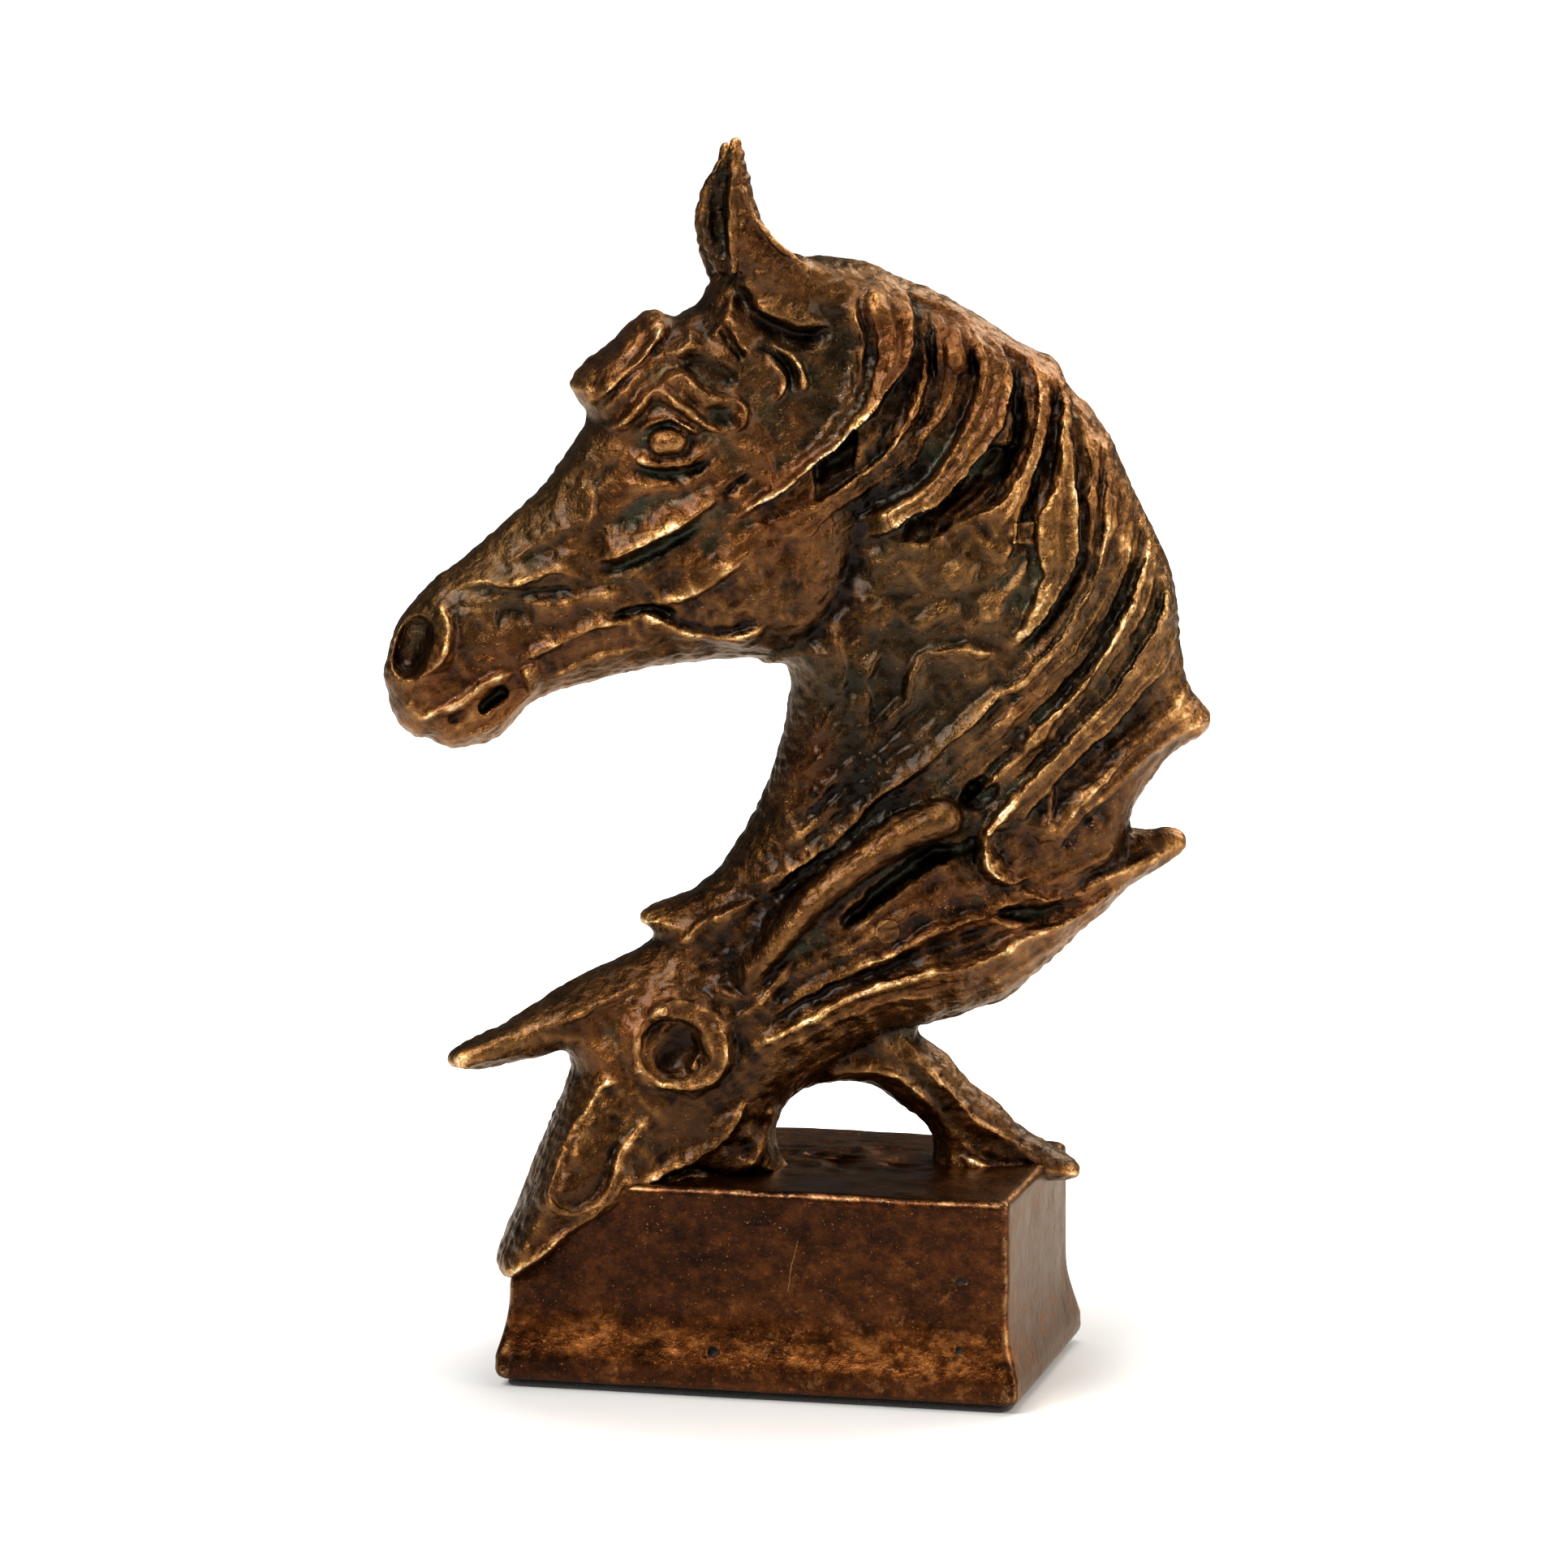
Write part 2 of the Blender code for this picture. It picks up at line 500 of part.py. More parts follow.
def make_castings(parts, cutters, frame, bronze):
    regions = make_regions(cutters, frame)
    core = as_cutter(new_object("core", joined([
        slab(outline, CORE_HALF, 3) for outline in (HEAD_CORE, NECK_CORE, LOWER_CORE)]),
        cutters, frame))
    run_together(core, 2.5, 0, 0.16)
    seat = as_cutter(new_object("base_seat", base_mesh(GAP), cutters))

    head = cast("upper_head_casting",
                [slab(HEAD_OUTLINE, 9, 3)] + [loft(s) for s in (NOSE, CHEEK, BROW, POLL, NAPE)]
                + both_sides(HEAD_RELIEF | {"ear_root": raised(EAR_ROOT)}),
                parts, frame, 0.16)
    neck = cast("neck_casting",
                [slab(NECK_OUTLINE, 9, 3)] + [loft(s) for s in (NECK_BODY, THROAT, MANE_TIP)]
                + both_sides(NECK_RELIEF),
                parts, frame, 0.16)
    lower = cast("lower_head_casting",
                 [slab(LOWER_OUTLINE, 10, 3)]
                 + [loft(s) for s in (LOWER_BODY, FORELOCK_SPIKE, SMALL_SPIKE, LOWER_TIP)]
                 + both_sides(LOWER_RELIEF),
                 parts, frame, 0.18)
    strut = cast("strut_casting", [slab(STRUT_OUTLINE, 8, 3), loft(FOOT)], parts, frame, 0.3)
    castings = {"head": head, "neck": neck, "lower": lower, "strut": strut}
    for name, obj in castings.items():
        cut(obj, regions[name], "INTERSECT")
    for name in ("head", "neck", "lower"):
        cut(castings[name], core)
    for name in ("lower", "strut"):
        cut(castings[name], seat)
    carve(head, "nostril", NOSTRIL, cutters, frame)
    carve(head, "mouth", MOUTH, cutters, frame)
    carve(lower, "lower_eye", LOWER_EYE, cutters, frame)
    castings |= make_ears(parts, cutters, frame, head)
    for obj in castings.values():
        obj.data.materials.append(bronze)
    return castings


def along_plane(name, radius, length, middle, degrees, collection, frame):
    """A cylinder whose axis lies in the sculpture plane, `degrees` above u."""
    obj = new_object(name, cylinder(radius, length), collection, frame)
    obj.location = Vector(middle) * MM
    obj.rotation_euler = (0, math.radians(90 - degrees), 0)
    return obj


def make_dowels(parts, cutters, frame, castings, steel):
    places = dict(DOWELS)
    (u, z), angle, length = EAR_DOWEL
    for side, ear in ((-1, "near_ear"), (1, "far_ear")):
        places[f"{ear}_dowel"] = ((u, side * EAR_SPREAD, z), angle, length)
    pairs = {"head_dowel": ("head", "neck"), "neck_dowel": ("neck", "lower"),
             "strut_dowel": ("lower", "strut"), "near_ear": ("head", "near_ear"),
             "far_ear": ("head", "far_ear")}
    for name, (middle, angle, length) in places.items():
        radius = DOWEL_R * (0.6 if "ear" in name else 1)
        dowel = along_plane(name, radius, length, middle, angle, parts, frame)
        dowel.data.materials.append(steel)
        hole = as_cutter(along_plane(f"{name}_hole", radius + GAP, length + 2 * GAP, middle, angle,
                                     cutters, frame))
        for start, pair in pairs.items():
            if name.startswith(start):
                cut(castings[pair[0]], hole)
                cut(castings[pair[1]], hole)


def make_stud_holes(cutters, castings):
    for name, place in STUD_PLACES.items():
        low, high = BASE_TOP - 10, STUD_TOPS[name] + GAP
        hole = upright_round(f"stud_socket_{name}", STUD_R + GAP, high - low, place,
                             (low + high) / 2, cutters)
        cut(castings["strut" if name == "foot" else "lower"], as_cutter(hole))


def make_core_plugs(parts, cutters, frame, castings, bronze):
    """Bronze pins that close the holes left by the pins that held the core."""
    for name, ((u, z), side, outer) in CORE_PLUGS.items():
        inner = CORE_HALF + 1.5
        middle = Vector((u, side * (outer + inner) / 2, z)) * MM
        for radius, length, collection, label in ((PLUG_R, outer - inner, parts, name),
                                                  (PLUG_R + GAP, 30, cutters, f"{name}_hole")):
            obj = new_object(label, cylinder(radius, length), collection, frame)
            obj.rotation_euler = (math.pi / 2, 0, 0)
            obj.location = middle
            if collection is parts:
                obj.data.materials.append(bronze)
            else:
                obj.location.y = side * (CORE_HALF - 2 + 15) * MM
                cut(castings["neck" if "neck" in name else "lower"], as_cutter(obj))


def main():
    clear_scene()
    parts = new_collection("bronze_horse_statue")
    cutters = new_collection("cutters")
    cutters.hide_render = True
    frame = new_object("sculpture_frame", None, parts)
    frame.matrix_world = PLANE
    bronze = material("bronze", (0.16, 0.085, 0.04), 0.42, 1.0)
    steel = material("steel", (0.55, 0.54, 0.52), 0.35, 1.0)
    felt = material("felt", (0.03, 0.028, 0.026), 0.95, 0.0)
    make_base(parts, cutters, bronze, felt)
    castings = make_castings(parts, cutters, frame, bronze)
    make_stud_holes(cutters, castings)
    make_dowels(parts, cutters, frame, castings, steel)
    make_core_plugs(parts, cutters, frame, castings, bronze)
    make_fixings(parts, cutters, steel)
    bpy.context.view_layer.update()


main()
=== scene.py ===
"""Looks of the bronze horse statue: the castings as one modelled surface, parted where the CAD parts them,
with their patina and some painted light and shade, the base's moulding and wear, the felt, a plain floor
with a soft shadow painted round the statue, and soft studio light.

The sculpture is a field on a grid in its own plane: u along the plane (the muzzles point to -u),
v through it (the near side is -v) and z up, in mm. Its forms are joined smoothly, its hair and folds are
painted as relief on each side, and each casting is the part of that field inside the casting's own region.
"""

import math

import bmesh
import bpy
import numpy as np
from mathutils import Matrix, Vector


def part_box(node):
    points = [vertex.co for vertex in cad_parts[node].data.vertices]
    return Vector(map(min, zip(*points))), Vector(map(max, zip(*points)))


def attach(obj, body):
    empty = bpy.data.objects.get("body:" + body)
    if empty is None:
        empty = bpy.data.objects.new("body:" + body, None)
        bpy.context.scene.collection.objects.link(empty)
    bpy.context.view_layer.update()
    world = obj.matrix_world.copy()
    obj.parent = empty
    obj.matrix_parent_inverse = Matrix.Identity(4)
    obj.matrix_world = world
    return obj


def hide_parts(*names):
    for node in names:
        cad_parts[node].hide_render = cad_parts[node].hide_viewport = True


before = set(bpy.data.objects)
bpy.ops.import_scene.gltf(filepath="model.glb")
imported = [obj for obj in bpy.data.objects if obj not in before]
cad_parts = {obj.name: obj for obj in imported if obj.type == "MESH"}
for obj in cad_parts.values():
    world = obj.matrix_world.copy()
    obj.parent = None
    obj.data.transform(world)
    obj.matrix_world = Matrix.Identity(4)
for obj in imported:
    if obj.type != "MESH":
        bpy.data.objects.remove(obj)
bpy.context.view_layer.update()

MM = 0.001
PLANE_TURN = math.radians(20)  # of the sculpture's plane, from the base's long side
PLANE_SHIFT = -3.0
STEP = 0.6
LOW = np.array([-97.0, -27.0, 22.0])
HIGH = np.array([101.0, 27.0, 284.0])
SIDE_BLEND = 5.0  # the near side's relief turns into the far side's within this distance of the plane
LAP = 1.0  # how far a casting runs on under its neighbour
TUCK = 0.12  # how much lower it lies there
SUNK = 1.2  # how far the castings reach into the base's top
EAR_GAP = 2.5  # from the plane to each ear's casting
EAR_DROOP = 2.4  # how much lower the far ear stands
FLARE = 3.0  # how far the base's foot stands out past its waist
EDGE_ROUND = 1.9  # of the base's upper edges
PLATE = 6.0  # the base's top plate
WALL = 9.0  # from the base's foot to its hollow

axis_u, axis_v, axis_z = (np.arange(LOW[i], HIGH[i], STEP, dtype=np.float32) for i in range(3))
MAP_STEP = STEP / 2
map_u = np.arange(LOW[0], HIGH[0], MAP_STEP, dtype=np.float32)
map_z = np.arange(LOW[2], HIGH[2], MAP_STEP, dtype=np.float32)


# ---------------------------------------------------------------- curves and maps
def curve_through(points, per, closed=False):
    """A smooth curve through the points, with this many places to each span."""
    p = np.asarray(points, float)
    if closed:
        p = np.vstack([p[-1], p, p[:2]])
    else:
        p = np.vstack([2 * p[0] - p[1], p, 2 * p[-1] - p[-2]])
    t = np.linspace(0, 1, per, endpoint=False)[:, None]
    spans = []
    for a, b, c, d in zip(p, p[1:], p[2:], p[3:]):
        spans.append(0.5 * (2 * b + (c - a) * t + (2 * a - 5 * b + 4 * c - d) * t ** 2
                            + (3 * b - a - 3 * c + d) * t ** 3))
    made = np.vstack(spans)
    return made if closed else np.vstack([made, p[-2]])


def inside_distance(outline):
    """Distance inside the closed outline, in mm, on the field's u-z grid; negative outside it."""
    u, z = axis_u[:, None], axis_z[None, :]
    nearest = np.full((axis_u.size, axis_z.size), 1e6, np.float32)
    inside = np.zeros(nearest.shape, bool)
    for (au, az), (bu, bz) in zip(outline, np.roll(outline, -1, axis=0)):
        du, dz = bu - au, bz - az
        along = np.clip(((u - au) * du + (z - az) * dz) / (du * du + dz * dz + 1e-9), 0, 1)
        gap = (u - au - along * du) ** 2 + (z - az - along * dz) ** 2
        np.minimum(nearest, gap.astype(np.float32), out=nearest)
        if az != bz:
            crosses = ((az > z) != (bz > z)) & (u < au + (z - az) * du / dz)
            inside ^= crosses
    return np.where(inside, 1, -1) * np.sqrt(nearest)


def spread(knots, reach=11.0):
    """A smooth map through scattered (u, z, value) knots."""
    u, z = axis_u[:, None], axis_z[None, :]
    total = np.full((axis_u.size, axis_z.size), 1e-12, np.float32)
    value = np.full(total.shape, 1e-12 * knots[0][2], np.float32)
    for ku, kz, kv in knots:
        weight = np.exp(-((u - ku) ** 2 + (z - kz) ** 2) / (2 * reach ** 2)).astype(np.float32) + 1e-9
        total += weight
        value += weight * kv
    return value / total


def smoothstep(low, high, x):
    t = np.clip((x - low) / (high - low), 0, 1)
    return t * t * (3 - 2 * t)


def smooth_min(a, b, k):
    mix = np.maximum(k - np.abs(a - b), 0)
    return np.minimum(a, b) - mix * mix / (4 * k)


def noise3(points, size, seed):
    """Value noise of about -1 to 1 at the points, its lumps about `size` mm wide."""
    p = points / size + seed * 17.31
    cell = np.floor(p).astype(np.int64)
    t = p - cell
    t = t * t * (3 - 2 * t)
    total = np.zeros(len(p))
    for corner in range(8):
        step = np.array([corner & 1, corner >> 1 & 1, corner >> 2 & 1])
        x, y, z = (cell + step).T
        mixed = (x * 374761393 + y * 668265263 + z * 2147483647 + seed * 144665) & 0x7FFFFFFF
        mixed = (mixed ^ (mixed >> 13)) * 1274126177 & 0x7FFFFFFF
        value = ((mixed ^ (mixed >> 16)) & 0xFFFF) / 32767.5 - 1
        share = np.prod(np.where(step, t, 1 - t), axis=1)
        total += share * value
    return total


# ---------------------------------------------------------------- relief painted on each side
def ragged(amount, seed):
    """A small wandering offset for every place on the relief map, so that no line is drawn smoothly."""
    u, z = np.meshgrid(map_u, map_z, indexing="ij")
    places = np.stack([u.ravel(), np.full(u.size, seed * 5.0), z.ravel()], 1)
    total = 1.0 * noise3(places, 8.5, seed)
    total = total + 0.5 * noise3(places, 3.4, seed + 1)
    total = total + 0.28 * noise3(places, 1.5, seed + 2)
    return (amount * total).reshape(u.shape).astype(np.float32)


def resampled(points, count):
    """Evenly spread places on the curve through the points."""
    curve = curve_through(points, 6)
    lengths = np.concatenate([[0], np.cumsum(np.hypot(*np.diff(curve, axis=0).T))])
    places = np.linspace(0, lengths[-1], count)
    return np.stack([np.interp(places, lengths, curve[:, i]) for i in range(2)], 1)


class Relief:
    """Height over the smooth forms, in mm: `form` for the grid, `hair` for the fine surface."""

    def __init__(self):
        shape = (map_u.size, map_z.size)
        self.form = np.zeros(shape, np.float32)
        self.hair = np.zeros(shape, np.float32)
        calm = 1 - 0.55 * smoothstep(-12, -34, map_u)[:, None] * smoothstep(150, 170, map_z)[None, :]
        self.drift_u = ragged(0.75, 21) * calm
        self.drift_z = ragged(0.75, 31) * calm

    def near(self, points, reach):
        """The patch of the map round the points, as slices, and its ragged u and z."""
        p = np.asarray(points)
        low_u, high_u = np.searchsorted(map_u, (p[:, 0].min() - reach, p[:, 0].max() + reach))
        low_z, high_z = np.searchsorted(map_z, (p[:, 1].min() - reach, p[:, 1].max() + reach))
        patch = (slice(low_u, high_u), slice(low_z, high_z))
        u = map_u[patch[0]][:, None] + self.drift_u[patch]
        z = map_z[patch[1]][None, :] + self.drift_z[patch]
        return patch, u, z

    def track(self, points, u, z):
        """Distance from each place to the curve, above 0 on its left, and how far along it is, 0 to 1."""
        curve = curve_through(points, 3)
        best = np.full(u.shape, 1e6, np.float32)
        side = np.ones(u.shape, np.float32)
        along = np.zeros(u.shape, np.float32)
        steps = np.diff(curve, axis=0)
        lengths = np.hypot(steps[:, 0], steps[:, 1])
        starts = np.concatenate([[0], np.cumsum(lengths)])
        for (au, az), (du, dz), length, start in zip(curve, steps, lengths, starts):
            from_u, from_z = u - au, z - az
            t = np.clip((from_u * du + from_z * dz) / (length ** 2 + 1e-9), 0, 1)
            ou, oz = from_u - t * du, from_z - t * dz
            gap = ou * ou + oz * oz
            closer = gap < best
            best[closer] = gap[closer]
            side[closer] = np.sign(du * oz - dz * ou)[closer]
            along[closer] = ((start + t * length) / starts[-1])[closer]
        return np.sqrt(best) * np.where(side == 0, 1, side), along

    def ridge(self, points, height, width, lean=0.0, taper=(0.15, 0.25)):
        """A raised line with a sharp crest. Lean above 0 makes its left flank steep and its right one long,
        and below 0 the other way round."""
        patch, u, z = self.near(points, width * 4.2)
        off, along = self.track(points, u, z)
        swell = 0.2 + 0.8 * smoothstep(0, taper[0], along) * smoothstep(0, taper[1], 1 - along)
        swell *= 1 + 0.22 * np.sin(7 * along + points[0][0]) + 0.16 * np.sin(17 * along + points[0][1])
        steep, long = 1 - 0.5 * abs(lean), 1 + 3.2 * abs(lean)
        left, right = (steep, long) if lean > 0 else (long, steep)
        x = np.where(off > 0, off / left, -off / right) / (width * swell)
        rise = height * swell * np.clip(1 - x, 0, 1) ** 1.25
        on_steep = off if lean > 0 else -off
        foot = (on_steep / width - steep - 0.3) / 0.35
        dip = 0.2 * height * abs(lean) * swell * np.exp(-foot * foot)
        below = self.form[patch]
        self.form[patch] = np.maximum(below, rise) + 0.3 * np.minimum(below, rise) * (rise > 0) - dip

    def ridges(self, table):
        for points, height, width, lean in table:
            self.ridge(points, height, width, lean)

    def groove(self, points, depth, width, taper=(0.2, 0.2)):
        """A sunk line, deepest along its middle."""
        patch, u, z = self.near(points, width * 1.5)
        off, along = self.track(points, u, z)
        swell = smoothstep(0, taper[0], along) * smoothstep(0, taper[1], 1 - along)
        x = np.abs(off) / (width * (0.4 + 0.6 * swell))
        self.form[patch] -= depth * swell * np.clip(1 - x, 0, 1) ** 0.9

    def grooves(self, table):
        for points, depth, width in table:
            self.groove(points, depth, width)

    def dome(self, centre, radii, height, turn=0.0, power=0.8):
        """A raised or sunk ellipse."""
        patch, u, z = self.near([centre], max(radii) * 1.2)
        c, s = math.cos(math.radians(turn)), math.sin(math.radians(turn))
        x = ((u - centre[0]) * c + (z - centre[1]) * s) / radii[0]
        y = (-(u - centre[0]) * s + (z - centre[1]) * c) / radii[1]
        self.form[patch] += height * np.clip(1 - x * x - y * y, 0, 1) ** power

    def domes(self, table):
        for centre, radii, height, turn in table:
            self.dome(centre, radii, height, turn)

    def bands(self, guides, levels, strand, height, seed, fade=(0.07, 0.14)):
        """Hair between guide lines, each to the left of the one before as it runs.

        Each band has a level at its first and last edge, in mm, and sloping strands that run its length,
        `strand` mm wide and `height` mm tall. `fade` is the share of its length that each end takes."""
        chance = np.random.default_rng(seed)
        for first, last, (start, end) in zip(guides, guides[1:], levels):
            patch, u, z = self.near(list(first) + list(last), 1.5)
            from_first, along_first = self.track(first, u, z)
            from_last, along_last = self.track(last, u, z)
            between = (from_first > 0) & (from_last < 0)
            share = np.clip(from_first / np.maximum(from_first - from_last, 1e-3), 0, 1)
            along = (along_first + along_last) / 2
            ends = smoothstep(0, fade[0], along) * smoothstep(0, fade[1], 1 - along)
            across = np.hypot(*(resampled(first, 9) - resampled(last, 9)).T).mean()
            rise = start + (end - start) * share
            for layer, pitch, tall in (("form", strand, height), ("hair", 1.05, 0.36)):
                count = max(1, round(across / pitch))
                sway = 0.3 * np.sin(along * 7 + chance.uniform(0, 6))
                place = count * share + sway * smoothstep(0, 0.2, share) * smoothstep(0, 0.2, 1 - share)
                number = np.clip(np.floor(place), 0, count - 1)
                within = np.clip(place - number, 0, 1)
                crest = chance.uniform(0.72, 0.86)
                saw = np.where(within < crest, (within / crest) ** 1.5, (1 - within) / (1 - crest))
                strength = 0.65 + 0.35 * np.sin(number * 2.4 + along * 8 + chance.uniform(0, 6))
                added = tall * saw * strength * ends
                if layer == "form":
                    added = added + rise * ends
                getattr(self, layer)[patch] += np.where(between, added, 0).astype(np.float32)


# The mane's locks lie between these guide lines, from the head's side of the mane to its outer edge.
MANE_GUIDES = [
    [(8, 251), (10, 243), (11, 235), (10, 226), (6, 218), (-1, 211), (-9, 206)],
    [(13, 251), (16, 243), (17.3, 234.5), (15.5, 226), (12, 219), (7, 213), (0, 208), (-8, 203),
     (-15, 198.5)],
    [(20, 252.5), (25, 247), (26.3, 240), (25, 233), (21, 226), (16, 220), (10, 214), (3, 208.5),
     (-4, 203.5), (-11, 199.5), (-18, 195)],
    [(28, 248), (28.5, 238), (27.5, 228), (25.5, 222), (21, 215.5), (16.5, 209.5), (8, 203.5), (-4, 198.5),
     (-14, 194.5)],
    [(35.5, 245), (38.5, 237), (40, 229), (38.5, 222), (36, 216), (31, 209.5), (26, 204), (18, 198.5),
     (9, 195)],
    [(41, 242), (46, 235.5), (48.3, 229), (47.5, 222), (45, 216.5), (42, 212), (37, 206), (33, 202),
     (26, 197.5), (17, 193)],
    [(51, 235.5), (54, 226), (53, 218), (51, 211), (48, 205), (43.5, 200), (37, 196)],
    [(56, 232.5), (57.5, 223), (56, 215), (53.5, 208), (50.5, 201), (48.5, 194)],
    [(59, 230), (59.8, 220), (58.5, 211), (56, 203), (53, 197), (53, 191), (54, 185), (52.5, 179),
     (49.5, 172.5), (46, 167.5)],
    [(62.5, 227), (62, 217), (62, 208), (63, 200), (63, 190), (61, 183.5), (57, 177), (52.5, 171),
     (47.5, 166)],
    [(66, 222.5), (66, 211), (66, 199), (65.5, 189), (63, 181), (58.5, 173), (53.5, 167), (48, 161.5)],
    [(70.5, 216), (69.7, 205), (69, 195), (67, 186), (63.5, 178), (59, 171), (53, 164), (46, 156.5)],
    [(75.5, 206), (73.5, 196), (71, 187), (67.5, 179), (63, 171.5), (57.5, 164.5), (51, 157.5),
     (43, 149.5)],
    [(80, 196), (78, 186.5), (74.5, 177), (70, 169), (64, 161.5), (57.5, 154), (50, 146.5), (44, 140)],
    [(84.5, 187), (83, 178), (79, 170), (74, 162), (67.5, 154.5), (60, 146.5), (52, 138.5), (45.5, 131)],
    [(88.5, 175), (86.5, 166), (82.5, 159.5), (76, 153), (69, 147), (61.5, 140), (54, 133), (48, 126)],
    [(92, 156), (87, 153.5), (80, 148.5), (73, 142.5), (66, 135.5), (59, 128.5), (53, 122)],
    [(97, 148.5), (90, 146), (82, 141), (75, 135.5), (68, 130), (62, 124.5), (57, 119)]]
MANE_LEVELS = [
    (0.0, 0.9), (2.6, 4.0), (-3.0, -1.2), (1.3, -1.0), (2.6, 4.0), (-3.2, -0.8), (1.9, 1.2), (-1.6, 0.2),
    (2.6, 3.2), (-1.0, 1.0), (1.9, 0.2), (2.8, 0.5), (1.4, -0.4), (2.8, 0.6), (3.2, 1.6), (-1.2, 0.4),
    (1.6, 0.8)]


def paint_mane(side):
    """The mane's locks, sharper edges on some of them, and the folds along its crest."""
    side.bands(MANE_GUIDES, MANE_LEVELS, strand=2.7, height=1.3, seed=5)
    side.ridge([(12.5, 247), (13.5, 241), (14.5, 235), (13, 229)], 1.8, 1.4, 0.5)
    rear_lock = [
        (46, 167), (38, 168), (32, 167.3), (27.5, 166), (25, 162), (24, 156), (20, 152.3), (16.5, 148)]
    side.ridge(rear_lock, 2.3, 1.6, -0.7)
    side.ridge([(26.5, 229), (27.5, 225), (25, 220), (21.5, 215), (18, 210.5)], 1.9, 1.3, 0.5)
    side.ridge([(64, 200), (64.5, 191), (62.5, 184)], 1.2, 1.4, 0.5)
    crest = [
        [(18, 249.5), (26, 246.5), (34, 243), (42, 238), (50, 233.5)],
        [(37, 241), (45, 236.5), (52, 231.5), (58, 226), (62, 219)],
        [(60, 225.5), (66, 218.5), (70, 210.5), (74.5, 202), (78.5, 193)],
        [(72, 207.5), (77, 198), (80.5, 189), (83, 181), (84.5, 173)],
        [(83, 185), (85.5, 176), (86, 168), (86.5, 160)]]
    side.ridges((points, 1.9, 1.5, -0.5) for points in crest)
    side.groove([(30, 244), (30, 236), (30.5, 228), (28.5, 220), (24, 213.5)], 2.4, 2.2)
    side.groove([(50.3, 231), (50, 222), (49, 214), (45.5, 207), (40.5, 202)], 2.0, 1.8)
    side.dome((36, 234.5), (3.3, 6.2), 3.6, -10)


def paint_neck(side):
    """The neck's hair and folds, and soft lumps on its smooth side."""
    rising = [
        [(-14, 113.5), (0, 119.5), (10, 126), (22, 136), (34, 145), (46, 154.5), (56, 158)],
        [(-8, 118), (2, 125), (12, 133), (23, 142.5), (34, 152), (43, 161)],
        [(-5, 124), (4, 132.5), (13, 141), (22, 150), (32, 159)],
        [(-3, 132), (4, 140), (11, 148), (18, 157)],
        [(-1, 142), (4, 149), (9, 157), (13, 165)]]
    side.bands(rising, [(1.2, 0.2), (1.4, 0.0), (0.9, 0.0), (0.6, 0.0)], strand=3.2, height=0.9, seed=8,
               fade=(0.15, 0.25))
    falling = [
        [(-6, 108), (6, 115.5), (18, 124), (30, 132), (42, 141), (54, 151)],
        [(-14, 113.5), (0, 119.5), (10, 126), (22, 136), (34, 145), (46, 154.5), (56, 158)]]
    side.bands(falling, [(-0.6, 1.0)], strand=2.4, height=1.1, seed=9)
    ridges = [
        ([(-9, 112.5), (0, 118), (7, 123.5), (14, 129.5), (20, 136), (28, 142), (34, 146.5), (41, 153),
          (47, 157.5), (55, 157)], 3.0, 1.7, -0.5),
        ([(16, 149), (17, 142), (22, 138.5)], 1.3, 1.4, 0.4),
        ([(57, 150), (50, 144), (44, 138.5), (39.5, 133)], 2.4, 1.8, 0.4),
        ([(54, 141), (49.5, 136), (45.8, 131), (42.6, 126.5), (41.6, 121.5), (43.6, 116.8), (48.5, 114.2),
          (54, 116)], 3.4, 1.9, -0.35),
        ([(58, 137), (56.5, 131), (58, 126), (63, 123.5)], 2.0, 1.7, 0.3),
        ([(18, 168), (15, 160), (16, 152), (13, 145)], 1.2, 1.8, 0.5),
        ([(8, 172), (10, 163), (8, 154)], 1.0, 2.0, 0.4)]
    side.ridges(ridges)
    side.groove([(-4, 107.5), (5, 114.5), (14, 121.5), (22, 128.5), (30, 133), (38, 136.5)], 2.6, 2.2)
    side.groove([(36, 131.5), (41, 137), (46, 142), (52, 147)], 2.4, 1.6)
    side.dome((40.5, 134.5), (5.0, 3.6), -2.6, 40)
    side.dome((49.8, 122.5), (5.2, 4.8), -3.6)
    side.dome((49, 123), (2.6, 2.0), 1.8, 40)
    lumps = [
        ((36, 184), (5, 3.8), 1.2), ((24, 184), (5, 4.4), 0.9), ((43, 177), (4.4, 4), 1.0),
        ((31, 175), (6, 3), 0.8), ((27, 192), (5, 3), 0.7), ((44, 190), (3.6, 4), 0.8),
        ((14, 184), (4, 5), -0.8), ((36, 192), (4, 3), -0.8), ((18, 175), (5, 4), 0.8)]
    side.domes((centre, radii, height, 35) for centre, radii, height in lumps)


# Folds along the bridge to the base, each with its height, width and lean.
STRUT_RIDGES = [
    ([(27, 80), (34, 73.5), (42, 67), (50, 60), (57, 54), (64, 49)], 1.6, 1.4, -0.5),
    ([(24, 78.5), (31, 71.5), (36, 65), (41, 58.8), (46, 55.2), (54, 51)], 1.8, 1.3, 0.5),
    ([(5, 66.5), (12, 69), (20, 69.5), (27, 66), (33, 60), (37, 53.5)], 1.5, 1.4, -0.4),
    ([(38, 50), (45, 48), (53, 46.5), (62, 45)], 1.5, 1.2, 0.4)]


